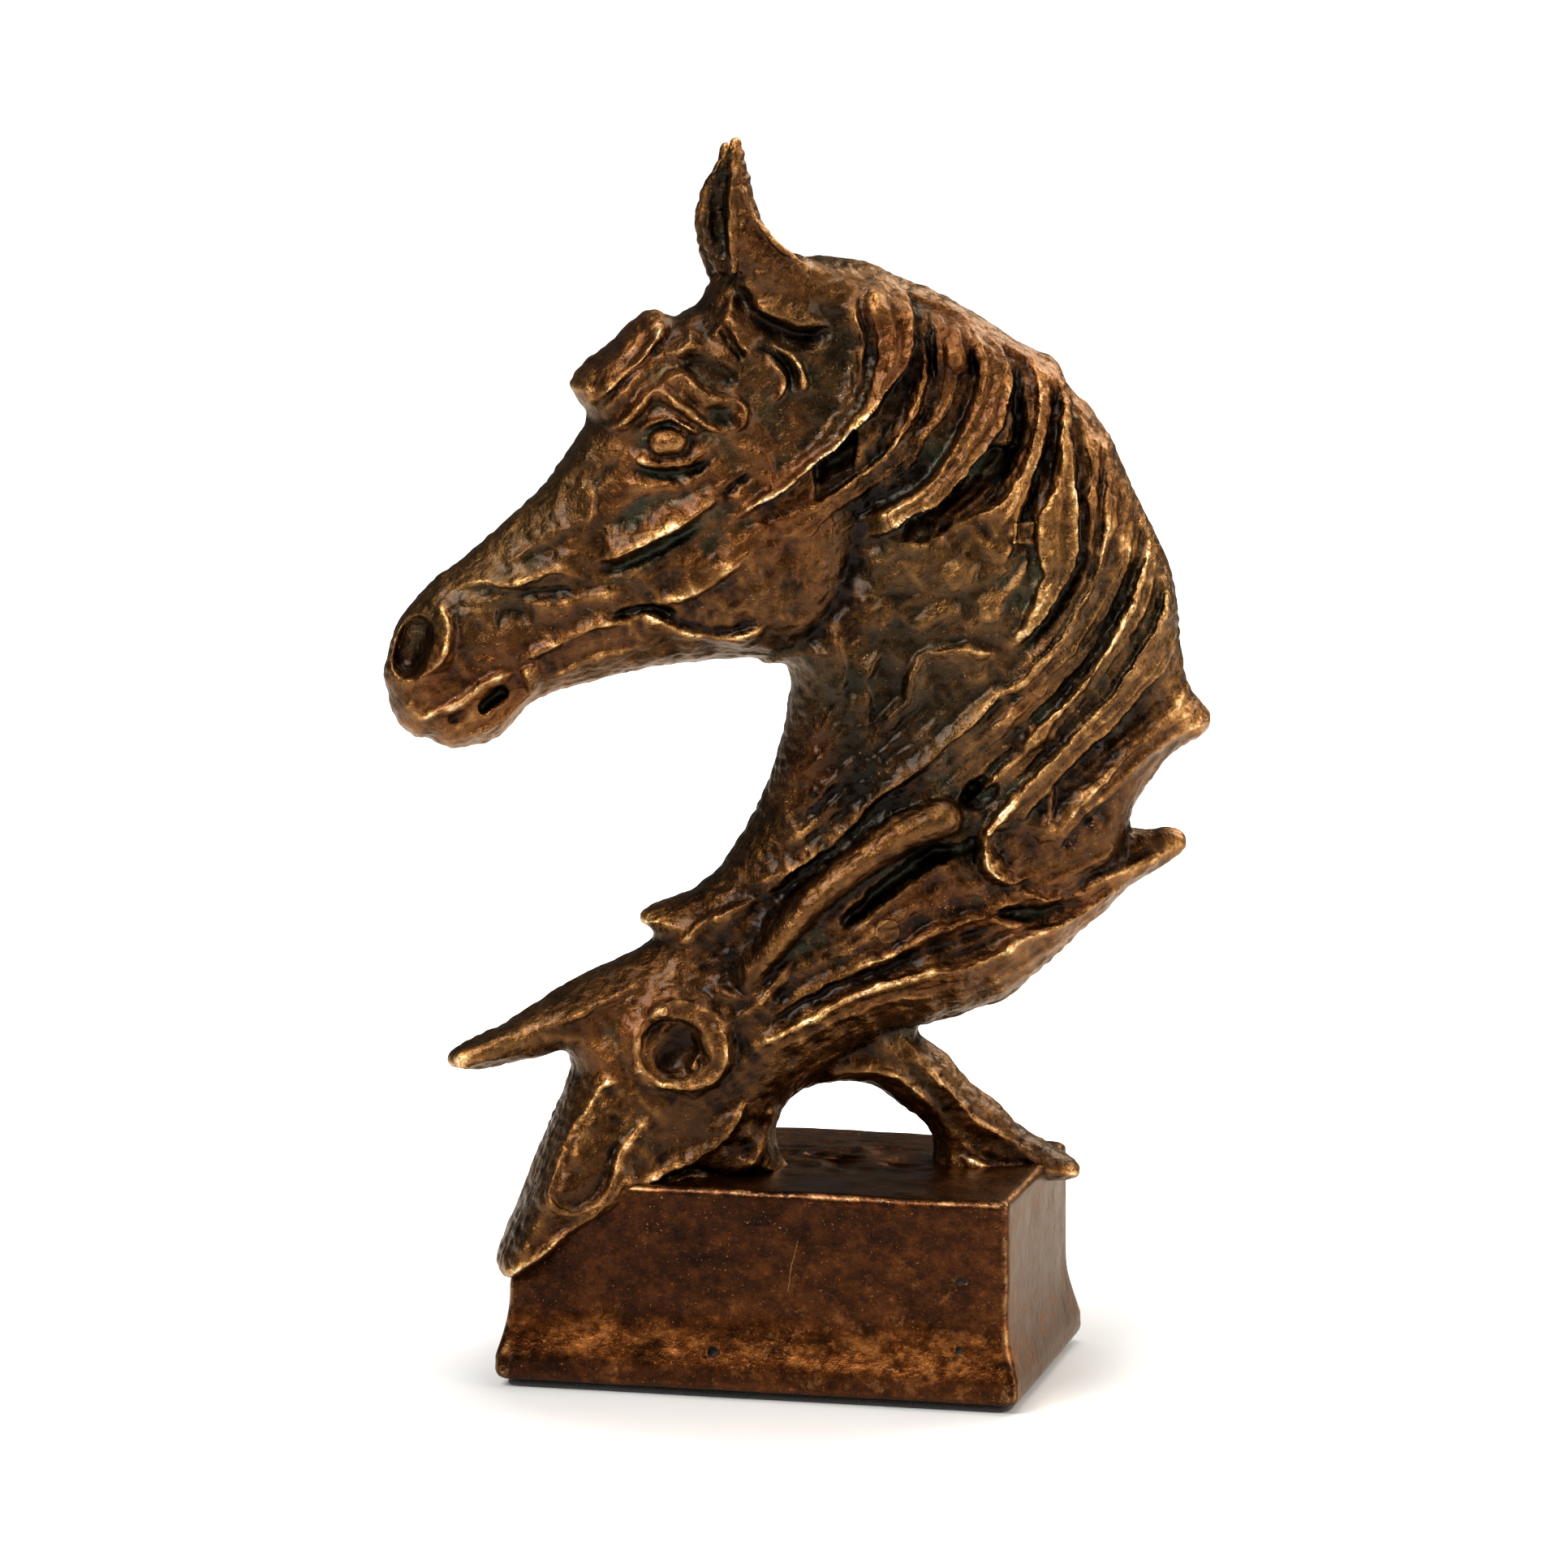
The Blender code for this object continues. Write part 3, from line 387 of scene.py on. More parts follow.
def paint_lower(side):
    """The lower head: hair along its neck, its face, its spike, ring-shaped eye and lobe."""
    along_neck = [
        [(-1, 66), (12, 73), (24, 78.5), (36, 81.5), (48, 85), (58, 92), (68, 100.5), (78, 109)],
        [(-8, 72), (4, 78), (16, 83.5), (28, 87), (40, 90), (50, 94), (60, 99.5), (70, 105.5), (82, 113)],
        [(-12, 78), (0, 84.5), (10, 89.5), (22, 93.5), (34, 96), (44, 99), (52, 102.5), (62, 106), (74, 111),
         (88, 118)],
        [(-11, 83), (3, 90), (14, 95), (26, 99.5), (38, 104.5), (48, 107), (58, 109.5), (70, 114), (82, 119),
         (90.5, 121.8)],
        [(-9, 88), (4, 95), (14, 101), (26, 107), (38, 112), (48, 115.5), (58, 119), (68, 123.5)],
        [(-7, 94), (3, 102), (12, 109), (22, 115.5), (33, 121.5), (42, 125)]]
    levels = [(0.0, 0.8), (0.8, 2.4), (1.6, -1.0), (1.0, -0.8), (0.4, -1.4)]
    side.bands(along_neck, levels, strand=3.6, height=0.9, seed=12)
    face = [
        [(-18, 58), (-26, 51), (-35, 45), (-45, 39)],
        [(-27, 64), (-34, 57), (-42, 49), (-50, 40), (-56, 33)],
        [(-35, 67), (-42, 58), (-49, 48), (-55, 38), (-61, 28)],
        [(-42, 70), (-48, 60), (-54, 49), (-60, 37), (-65, 28)],
        [(-49, 73), (-53.5, 62), (-58, 51), (-62.5, 40), (-67, 29)]]
    side.bands(face, [(0.9, 0.2), (0.6, -0.4), (0.0, 0.6), (0.9, 0.4)], strand=2.8, height=0.7, seed=14)
    tongue = [
        [(-28, 93), (-40, 86), (-52, 81), (-64, 77), (-76, 73)],
        [(-31, 98), (-42, 91), (-54, 84.5), (-66, 79), (-77, 75)],
        [(-34, 104), (-44, 96), (-56, 89), (-68, 82), (-78, 77)]]
    side.bands(tongue, [(0.2, 1.2), (0.0, 0.9)], strand=2.2, height=0.8, seed=16)
    ridges = [
        ([(74, 109), (62, 105.5), (52, 102.2), (45, 98.3), (36, 95.5), (27, 94), (18, 92.5), (9, 89),
          (2, 85.5), (-5, 81), (-12, 75.5)], 3.4, 2.4, -0.5),
        ([(56, 106), (49, 104.5), (42, 106.5), (34, 105), (26, 101), (18, 98), (8, 95)], 2.4, 1.8, -0.4),
        ([(48, 112.5), (56, 110.5), (63, 110.5), (70, 113.5), (79, 116.5), (89, 120)], 2.4, 1.8, 0.5),
        ([(-34, 102), (-42, 97.3), (-50, 92), (-59, 86.8), (-69, 81.5), (-78, 77)], 1.6, 1.6, 0.5),
        ([(-32, 94), (-40, 89.5), (-50, 84.5), (-60, 81), (-71, 78.5)], 1.3, 1.5, 0.5),
        ([(-28, 99), (-23, 104), (-16, 108), (-8, 112)], 1.8, 1.4, 0.4),
        ([(-13, 91), (-10, 97), (-6, 103), (1, 110)], 1.8, 1.4, -0.4),
        ([(-14, 84), (-10, 88), (-6, 93), (0, 99)], 1.8, 1.3, 0.4),
        ([(-19, 92), (-13, 88.5), (-9, 91.5), (-5, 88)], 1.5, 1.1, 0.3),
        ([(-33, 107.5), (-27, 109.5), (-20, 111), (-12, 113)], 1.2, 1.3, 0.4),
        ([(-37, 52), (-44, 44), (-52, 37), (-59, 31.5), (-65, 28.5)], 2.0, 1.5, -0.4),
        ([(-12, 66), (-14, 60), (-20, 54), (-28, 50), (-36, 46.5)], 1.8, 1.8, 0.4),
        ([(-4, 64), (-5, 57), (-9, 51), (-16, 47.5)], 1.6, 1.6, 0.4)]
    side.ridges(ridges)
    lobe = [(-40, 71), (-44.5, 68.5), (-47.6, 64), (-52, 57.7), (-55.2, 51), (-56.1, 46.2), (-54.3, 42.8),
            (-50.3, 41.9), (-45.9, 44.4), (-42.3, 48.9), (-40.3, 54.4), (-35.6, 60.7), (-33, 63)]
    side.ridge(lobe, 1.9, 1.5, 0.45, taper=(0.05, 0.05))
    side.ridges(STRUT_RIDGES)
    side.groove([(-42, 45), (-36, 45), (-30, 48.5), (-24, 50), (-16, 48)], 1.8, 1.4)
    side.groove([(8, 104), (16, 110), (24, 116), (31, 120.3), (38, 122)], 3.0, 2.4)
    side.groove([(-31, 104), (-36, 99), (-44, 94.5)], 1.3, 1.2)
    side.dome((50, 107.3), (6, 2.2), -1.0)
    side.dome((-26.4, 79.4), (13.5, 12.2), 1.8, power=0.5)
    eye_ring = [
        (-34.6, 71.5), (-36.6, 76.5), (-35.4, 82.5), (-31.5, 87), (-26, 88.6), (-19.8, 86.4), (-15.8, 81.5),
        (-16, 75.5), (-20.2, 71), (-26.5, 69.2), (-32.5, 70.2)]
    side.ridge(eye_ring, 2.2, 2.1, 0.2, taper=(0.02, 0.04))
    side.ridge([(-36.2, 75), (-35.2, 82), (-31, 86.6), (-26, 88)], 1.6, 2.6, 0.1)
    side.dome((-28, 77.6), (7.4, 6.8), -3.6, 20, power=0.5)
    side.dome((-31, 86), (3.2, 2.2), 1.7, 30)
    side.ridge([(-22.5, 84.5), (-19.3, 79.5), (-21, 74)], 1.9, 1.3, -0.4)
    side.ridge([(-31.5, 79.5), (-28, 82.5), (-25.3, 79), (-27, 75.5)], 2.0, 1.3, 0.0)
    side.ridge([(-33.5, 76.5), (-30.5, 77.5), (-29, 74), (-31, 71.5)], 1.6, 1.1, 0.3)
    side.ridge([(-24.5, 72.5), (-23.3, 75.5), (-25.4, 78)], 1.5, 1.0, -0.3)
    side.dome((-29.5, 74.5), (2.4, 1.8), 1.6)


def paint_head(side):
    """The upper head: the folds of brow, lids, forelock, cheek and jaw."""
    folds = [
        ([(-42.4, 216.9), (-39, 218.8), (-35.8, 222.3), (-33.2, 225.4), (-30.6, 226.2), (-27.3, 224),
          (-23.4, 221.3), (-20.5, 218.6), (-16.5, 216.6)], 3.2, 1.7, 0.35),
        ([(-31.5, 226.8), (-28.4, 228.8), (-25.2, 229.4), (-22.2, 226.9), (-18, 224.8), (-13.3, 223.4),
          (-11.6, 221.2), (-12.9, 218), (-16.5, 216.4)], 3.0, 1.6, 0.45),
        ([(-35.4, 216.6), (-32.1, 218.9), (-28.4, 219.6), (-24.6, 218), (-20.7, 214.6)], 2.4, 1.15, 0.0),
        ([(-37.7, 212), (-35.2, 210.4), (-32.1, 209.3), (-28.4, 209.2), (-24.6, 210.1), (-21.3, 212.3),
          (-19.2, 214.8)], 1.5, 1.15, -0.4),
        ([(-39, 207), (-33, 204.8), (-26, 205), (-19, 208)], 0.8, 1.8, 0.3),
        ([(-33.4, 242.4), (-37.7, 235.8), (-41.4, 232), (-45.8, 229.2), (-50, 227.4)], 2.4, 1.5, -0.5),
        ([(-29, 240), (-32, 235.5), (-36, 231), (-41, 226.5), (-45.5, 222.5)], 2.0, 1.3, 0.5),
        ([(-35, 240.5), (-39, 236.6), (-43, 233), (-47.5, 229.5)], 1.8, 1.1, 0.5),
        ([(-33, 231.5), (-37, 227.5), (-41, 223.5), (-44.5, 220)], 1.6, 1.1, -0.4),
        ([(-48.6, 229), (-46.2, 226.6), (-45.6, 223.6), (-46.6, 221)], 1.7, 1.0, 0.3),
        ([(-17, 249), (-20.5, 244), (-23.2, 239.5), (-24.6, 235.8), (-29.5, 233.6)], 2.8, 1.6, -0.5),
        ([(-13.5, 246), (-16.5, 240.5), (-19.5, 236)], 1.7, 1.4, -0.4),
        ([(-41, 217), (-44.2, 214.8), (-47.7, 209.3), (-52, 204.8), (-58, 199.5), (-66, 192.5),
          (-75, 185)], 1.8, 1.7, 0.5),
        ([(-45, 205.5), (-45.8, 199), (-47.5, 193)], 1.4, 1.3, 0.5),
        ([(-43, 200), (-50, 195.5), (-58, 190.5), (-66, 186)], 0.8, 1.8, 0.4),
        ([(-45.5, 187.6), (-41, 189), (-35, 191.6), (-29, 195), (-24, 198), (-19, 201.5),
          (-13.5, 206)], 3.0, 2.3, -0.6),
        ([(-32, 179), (-25, 180.3), (-19, 183.5), (-13, 188), (-8, 193)], 1.4, 1.6, -0.4),
        ([(-36, 177), (-31, 175.3), (-26, 172.4), (-20, 170.6), (-13, 171), (-6, 174.5)], 2.0, 1.7, 0.5),
        ([(-77, 180.5), (-70, 183), (-64, 182.4), (-59, 184), (-53, 185.6), (-46, 183.6)], 1.6, 1.5, -0.5),
        ([(-61.5, 165.5), (-56, 168), (-50, 171), (-44, 173.5), (-37, 174)], 1.6, 1.4, -0.4),
        ([(-57, 160.5), (-50, 164), (-42, 167), (-32, 168.5)], 1.1, 1.5, 0.5),
        ([(-62, 178), (-53, 178.7), (-45, 180.7), (-37, 182.5)], 1.2, 1.7, 0.5),
        ([(-16, 252), (-12.5, 249.4), (-9.6, 247), (-8.4, 244.2), (-3.6, 241.8), (2, 240.4),
          (9, 240)], 2.6, 2.4, -0.5),
        ([(-15.3, 240.5), (-12.8, 237), (-9.7, 233.3)], 1.3, 0.9, 0.0),
        ([(-7.5, 235), (-4.6, 231.5), (-3, 228), (-4.6, 224.6), (-8, 223)], 2.0, 1.1, 0.3),
        ([(-2, 234.5), (0.6, 231), (1.6, 227.5), (-0.6, 223.8)], 1.8, 1.2, 0.4),
        ([(-10, 214), (-6, 208), (-9, 201), (-16, 196)], 0.9, 2.4, 0.4)]
    side.ridges(folds)
    hollows = [
        ([(-38.5, 215.5), (-35.3, 219.2), (-31.5, 222.4), (-27.5, 221.4), (-23, 218.6),
          (-19, 215.6)], 1.1, 1.0),
        ([(-40, 211), (-42, 208), (-46, 203.5)], 1.1, 1.2),
        ([(-27, 232.5), (-22, 231.5), (-17, 229.5), (-12, 226.8)], 2.0, 3.0),
        ([(-14.5, 248.6), (-10.8, 244.2), (-5.6, 239.6), (1, 238), (8, 238)], 2.4, 4.2),
        ([(-17.5, 240.5), (-14.5, 236.5), (-11.5, 232.5)], 1.3, 1.2),
        ([(-9, 238), (-6.4, 234.2), (-1.8, 229.5), (-2.4, 225)], 1.5, 2.2),
        ([(-32, 239), (-35, 234.5), (-39, 230.5)], 1.2, 1.1),
        ([(-21.5, 246), (-25, 241), (-28, 237), (-33.5, 232)], 1.6, 1.3),
        ([(-20, 202.8), (-16, 204), (-10, 208)], 1.8, 1.3),
        ([(-46, 184.8), (-40, 186.5), (-33, 189), (-27, 192.5), (-20, 197.5)], 1.2, 1.4),
        ([(-43, 174.5), (-38, 176.3), (-32, 177.4), (-26, 176)], 1.6, 1.3),
        ([(-76, 165), (-72.5, 168.5), (-69, 173), (-64, 176.4), (-56, 177)], 1.3, 3.4),
        ([(-63, 180.3), (-56, 181.4), (-48, 181.6)], 1.0, 1.2),
        ([(-37.5, 209.5), (-33, 207.7), (-28, 207.2), (-22, 209), (-18, 212.6)], 1.3, 1.1)]
    side.grooves(hollows)
    side.domes([
        ((-17.4, 220.4), (3.4, 1.9), -1.4, -28), ((-27, 222.5), (12, 6), 1.6, -12),
        ((-12, 190), (9, 7), 0.9, 30), ((-24, 186), (7, 4), 0.6, 20),
        ((-34, 199), (8, 4), -0.9, 25), ((-56, 189), (8, 3.2), -0.8, 40)])
    paint_muzzle(side)


def paint_muzzle(side):
    """The upper head's nostril, lips and the corner of its mouth."""
    ala = [
        (-84.5, 178.4), (-81.6, 179.4), (-78.6, 177), (-77.4, 172), (-79, 166.8), (-82.4, 163.2),
        (-86.4, 161)]
    side.ridge(ala, 3.0, 2.6, 0.15, taper=(0.12, 0.3))
    side.ridge([(-84.4, 177.4), (-86.8, 174.8), (-88.2, 171), (-88.4, 166.6), (-87, 162.6)], 1.3, 1.1, 0.0)
    side.ridge([(-85, 152.2), (-79, 154.8), (-74, 157.6), (-70.7, 160.4), (-66.2, 162.4), (-61.6, 163.2)],
               1.9, 1.5, 0.4, taper=(0.2, 0.15))
    mouth_fold = [(-62.4, 163.4), (-59.2, 161.4), (-59.4, 157), (-63, 153), (-69, 150.2), (-75.6, 147.6)]
    side.ridge(mouth_fold, 2.0, 1.7, -0.3, taper=(0.1, 0.3))
    lips = [(-88, 149.6), (-84, 150.4), (-79.5, 151.6), (-74, 153.8), (-69.5, 156)]
    side.groove(lips, 1.2, 1.6, (0.1, 0.15))
    side.dome((-67.2, 156.4), (4.2, 2.8), -2.6, 32, power=0.6)
    side.ridge([(-69.6, 153.6), (-66.8, 155.4), (-64.4, 158.2)], 1.3, 0.9)
    side.dome((-78.5, 151), (5, 2.0), -0.8, 15)
    side.ridge([(-88.6, 158), (-85.5, 154.6), (-82, 153.2)], 1.0, 1.2, 0.3)


def clay(side):
    """The modelling tool's facets and scrapes, everywhere."""
    u, z = np.meshgrid(map_u, map_z, indexing="ij")
    flat_u, flat_z = u.ravel(), z.ravel()
    turned = np.stack([flat_u * 0.8 + flat_z * 0.6, np.zeros(u.size), flat_z * 0.8 - flat_u * 0.6], 1)
    wide, narrow = (1 - 2 * np.abs(noise3(turned * (1.0, 1.0, 0.6), size, seed))
                    for size, seed in ((7.0, 41), (3.4, 42)))
    face = 1 - 0.5 * smoothstep(-20, -40, u) * smoothstep(165, 185, z)
    side.form += (0.42 * wide + 0.30 * narrow).reshape(u.shape).astype(np.float32) * face
    fine = 1 - 2 * np.abs(noise3(turned * (0.6, 1.0, 1.0), 1.7, 43))
    side.hair += (0.20 * fine).reshape(u.shape).astype(np.float32)


def blurred(values, times):
    """The map, softened with its neighbours this many times."""
    for _ in range(times):
        for axis in (0, 1):
            ahead, behind = np.roll(values, 1, axis), np.roll(values, -1, axis)
            values = 0.5 * values + 0.25 * (ahead + behind)
    return values


def paint_sides():
    """The near side's relief, and the far side's, whose hair isn't its mirror image."""
    near = Relief()
    paint_mane(near)
    paint_neck(near)
    paint_lower(near)
    paint_head(near)
    clay(near)
    near.form = blurred(near.form, 2)
    u, z = np.meshgrid(map_u, map_z, indexing="ij")
    share = smoothstep(-12, 14, u) * (0.6 + 0.4 * smoothstep(120, 160, z))
    moved_u = u + share * (3.4 * np.sin(z / 15 + 1.1) + 1.4 * np.sin(u / 8 + 2))
    moved_z = z + share * (3.2 * np.sin(u / 13 + 0.4) + 1.6 * np.sin(z / 9))
    far = [sample_map(values, moved_u, moved_z).astype(np.float32) for values in (near.form, near.hair)]
    return (near.form, near.hair), far


# ---------------------------------------------------------------- the field
# Outlines are (u, z) in the plane. The knots below them are (u, z, mm): half thicknesses, roundings at the
# outline, and how far the middle lies from the plane.
HEAD_OUTLINE = [
    (-16, 250), (-19, 244.5), (-22, 242), (-26, 240.7), (-29, 242), (-32, 241.7), (-35, 239.2),
    (-38, 236.5), (-42, 233), (-46, 230), (-48.6, 227), (-49, 225), (-46.5, 221.5), (-45.4, 219.5),
    (-45.5, 217), (-49, 211.5), (-52, 207), (-55, 203), (-58, 200), (-62, 196.5), (-70, 189.5), (-79, 183),
    (-82.5, 179.5), (-86, 175.5), (-88.5, 171), (-90.2, 166), (-91, 161), (-90, 157), (-89.3, 153),
    (-87, 149.3), (-84, 147), (-81, 146.7), (-79.5, 145.5), (-76, 144.4), (-72, 144.5), (-68, 145.5),
    (-64, 147.7), (-60, 152.5), (-57, 154.7), (-53, 156.5), (-48, 158), (-42, 159.5), (-36, 161),
    (-30, 162), (-20, 163.2), (-10, 163.6), (-2, 163.4), (6, 166), (13, 173), (17, 183), (20, 194),
    (26, 206), (28, 220), (26, 236), (22, 249), (12, 252.8), (0, 253.8), (-8, 254)]
NECK_OUTLINE = [
    (-6, 163), (-1, 162.2), (0.5, 158), (0, 152), (-1.2, 146), (-3.2, 139), (-5.7, 132), (-8.2, 127),
    (-12, 121), (-16, 115), (-20, 109), (-24, 100), (-8, 96), (30, 96), (60, 104), (74, 116), (77, 124),
    (78, 128), (80, 131), (82, 134), (84, 137), (86, 139.5), (90, 142), (93, 143.5), (95.5, 145.5),
    (96.2, 148.3), (95, 150.5), (92.5, 153), (91, 156), (90, 159), (89.5, 163), (88.5, 168), (88, 174),
    (87, 180), (85, 185.5), (82.5, 191), (79.5, 197), (77, 202.5), (74, 208), (73, 211), (71, 215),
    (67.5, 219.5), (63.5, 223.8), (60.5, 229), (56, 231.5), (52, 234), (48, 236.5), (44, 239), (40, 241.5),
    (36, 244), (32, 246), (28, 247.6), (22, 250), (18, 251.7), (12, 252.6), (5, 252), (0, 240), (2, 220),
    (8, 200), (4, 180), (-2, 170)]
LOWER_OUTLINE = [
    (-31, 100), (-36, 96.6), (-42, 94), (-48, 91.5), (-54, 88), (-60, 84.2), (-66, 80.7), (-72, 78.3),
    (-76.5, 75.7), (-77.6, 73.4), (-75.5, 71.3), (-70, 71.1), (-63, 72.4), (-56, 74), (-51.5, 75),
    (-49.3, 71.5), (-51, 66), (-54, 58), (-57, 51), (-60, 44), (-63, 37), (-65.7, 31), (-66.8, 27.5),
    (-65.5, 24.7), (-62, 25.3), (-58, 28), (-50, 34), (-44, 37), (-36, 40), (-20, 42), (-6, 44), (0, 46.5),
    (-1.8, 50), (-2.7, 55), (-1.7, 60), (1, 64.3), (6, 69), (14, 74), (22, 78), (27, 78.7), (32, 79.7),
    (38, 81.2), (44, 82.7), (48, 84.2), (52, 86.7), (56, 90), (60, 93.5), (64, 97), (68, 101), (72, 104.5),
    (76, 108), (80, 111), (84, 113.2), (88, 115.7), (90.7, 118.3), (90.8, 120.8), (89, 122.6), (86, 123.4),
    (82, 122.8), (77, 124), (70, 130), (50, 132), (20, 126), (-4, 116), (-18, 113.2), (-22, 110.6),
    (-28, 108.7), (-33, 106.2), (-33.8, 104.2), (-31.5, 102.3)]
STRUT_OUTLINE = [
    (-8, 68), (-3, 62), (1, 64.3), (8, 65.7), (14, 66), (19, 65), (24, 62), (29, 58), (32, 54.5),
    (33.5, 50), (33, 46), (36, 43), (50, 41.5), (60, 41.8), (64, 42.3), (66.5, 43.6), (66.3, 45.8),
    (64, 47.8), (60, 50.2), (54, 54.2), (48, 59.7), (42, 65.2), (36, 71.2), (30, 76.2), (27, 80), (16, 84),
    (2, 80)]

HEAD_WIDTHS = [
    (-88, 160, 9.5), (-80, 150, 10.5), (-82, 168, 13), (-84, 158, 11), (-72, 158, 12), (-66, 172, 12.5),
    (-68, 186, 9), (-56, 164, 12), (-54, 176, 14), (-54, 192, 11), (-42, 178, 16), (-40, 194, 17),
    (-44, 210, 15), (-44, 226, 9.5), (-34, 215, 19), (-28, 216, 20), (-20, 218, 19.5), (-38, 236, 7.5),
    (-27, 237, 12), (-16, 240, 14.5), (-20, 229, 18.5), (-20, 184, 19.5), (-8, 180, 20), (0, 194, 20.5),
    (6, 178, 18), (-30, 168, 16), (-8, 200, 20), (-4, 222, 18.5), (-4, 236, 15.5), (4, 248, 12.5),
    (14, 240, 16), (18, 220, 18.5), (20, 204, 18.5), (14, 190, 19)]
NECK_WIDTHS = [
    (14, 246, 13), (20, 232, 18), (34, 240, 13), (36, 222, 18.5), (50, 228, 14.5), (52, 208, 19),
    (66, 212, 14), (66, 190, 18.5), (80, 186, 13), (80, 166, 17), (90, 160, 10), (92, 148, 7),
    (78, 142, 13), (64, 150, 19), (50, 170, 20), (30, 186, 19.5), (26, 170, 19), (12, 180, 17),
    (8, 158, 16.5), (20, 150, 18.5), (2, 138, 15), (12, 128, 17), (30, 138, 19.5), (48, 136, 19.5),
    (62, 124, 16), (40, 116, 18), (20, 112, 17), (-8, 116, 12.5)]
LOWER_WIDTHS = [
    (-74, 75, 3.8), (-62, 79, 5.2), (-50, 84, 7), (-40, 90, 9.5), (-32, 98, 12), (-30, 105, 7),
    (-22, 106, 10), (-42, 76, 15.5), (-46, 62, 15.5), (-28, 78, 18.5), (-28, 60, 18), (-50, 48, 16),
    (-52, 40, 17), (-58, 34, 15), (-65, 27, 12), (-42, 42, 18), (-12, 64, 16), (-8, 48, 15),
    (-10, 84, 19.5), (-8, 100, 17), (10, 92, 20), (10, 78, 17.5), (14, 110, 18), (30, 100, 19.5),
    (30, 84, 17), (34, 120, 17), (50, 106, 18), (54, 92, 14.5), (66, 112, 12), (70, 104, 10.5),
    (82, 117, 6.5), (89, 120, 4.5)]
HEAD_ROUNDINGS = [
    (-84, 162, 10), (-60, 175, 14), (-30, 200, 17), (0, 200, 16), (-42, 230, 6.5), (-10, 245, 12)]
NECK_ROUNDINGS = [(20, 240, 13), (40, 200, 15), (80, 180, 11), (90, 148, 7), (40, 140, 14), (0, 140, 11)]
LOWER_ROUNDINGS = [
    (-74, 75, 4), (-50, 84, 7), (-30, 100, 9), (-62, 32, 3.5), (-50, 38, 4), (-40, 44, 6), (-20, 60, 12),
    (20, 95, 13), (60, 105, 10), (88, 119, 5)]
LOWER_CENTRES = [(-64, 28, -5), (-56, 36, -3.5), (-46, 44, -1.5), (-30, 60, 0), (-70, 76, -1), (0, 90, 0),
                 (60, 110, 0)]
STRUT_ROUNDINGS = [(0, 66, 8), (40, 60, 5.5), (60, 46, 4)]
STRUT_WIDTHS = [(0, 66, 10), (12, 72, 10.5), (26, 68, 8.5), (38, 60, 8), (50, 51, 9.5), (62, 45, 7.5)]

# Parting lines between the castings, as (u, z). Each starts and ends in open air.
HEAD_LINE = [(-12, 157), (2, 163.5), (10, 168), (18, 182), (28, 195), (40, 202), (47, 212),
             (49.5, 224), (47, 233), (52, 246)]
NECK_LINE = [(-32, 113), (-20, 109.5), (-8, 113), (8, 124), (22, 133), (37, 135.5), (43, 127),
             (42, 118), (47, 113.5), (56, 114), (62, 119), (70, 124), (84, 127)]
STRUT_LINE = [(2, 60), (0, 68), (4, 75), (12, 78), (22, 80.5), (27, 79), (37, 76)]
# Round both ears' castings, seen from the side.
EAR_SEAT = [(-30, 247.5), (-13, 248.5), (-2, 252), (7, 256), (7, 300), (-30, 300)]


# Where the tone is lighter (above 0) or darker, as (u, z, tone): partly the patina's own variation and partly
# painted light and shade, such as painted shade on the neck's front under the head and on the temple under
# the ear, and a painted highlight on the brow.
PATINA_AND_PAINTED_LIGHT = [
    (-6, 185, -0.06), (-40, 182, 0.0), (-22, 226, 0.46), (-31, 210, -0.14), (-33, 195, -0.14),
    (-14, 233.5, -0.42), (-64, 188.5, 0.0), (-84, 168, -0.02), (-42, 229, -0.12), (0, 221, -0.34),
    (4, 207, -0.12), (36, 182, 0.06), (17, 228, -0.30), (4, 242, -0.04), (30, 205, -0.26), (44, 233, -0.20),
    (58, 222, -0.12), (65, 196, 0.09), (80, 170, 0.06), (60, 150, 0.0), (7.5, 150, -0.60), (0, 170, -0.22),
    (24, 113, -0.22), (16, 93, 0.0), (60, 108, 0.0), (-45, 58, 0.08), (-60, 83, -0.10), (-20, 60, -0.10),
    (-28, 78, 0.0), (-5, 110, -0.15), (40, 60, 0.0), (64, 46, -0.30), (-76, 74, -0.25), (-66, 27, -0.20),
    (-11, 262, -0.05), (-13, 279, -0.35)]


def on_field_grid(relief_map):
    """Every second value of the map, which is twice as fine as the field."""
    return relief_map[::2, ::2][:axis_u.size, :axis_z.size]


def swollen_form(outline, widths, roundings, height, centres=((0, 100, 0),)):
    """A form with this outline in the plane. Its half thickness, the rounding at its outline and its middle
    in v follow knots."""
    inside = inside_distance(curve_through(outline, 4, closed=True)).astype(np.float32)[:, None, :]
    width, rounding, centre = (spread(knots)[:, None, :] for knots in (widths, roundings, centres))
    height = 1.2 * height * (0.4 + 0.6 * smoothstep(0, 5, inside))
    thick = np.maximum(width + height, 1.5)
    edge = np.maximum(1 - (inside + 0.25 * height) / rounding, 0)
    across = np.abs(axis_v[None, :, None] - centre) / thick
    size = np.sqrt(across ** 2 + edge ** 2)
    scale = (across ** 2 * thick + edge ** 2 * rounding) / (size ** 2 + 1e-6)
    return ((size - 1) * scale).astype(np.float32)


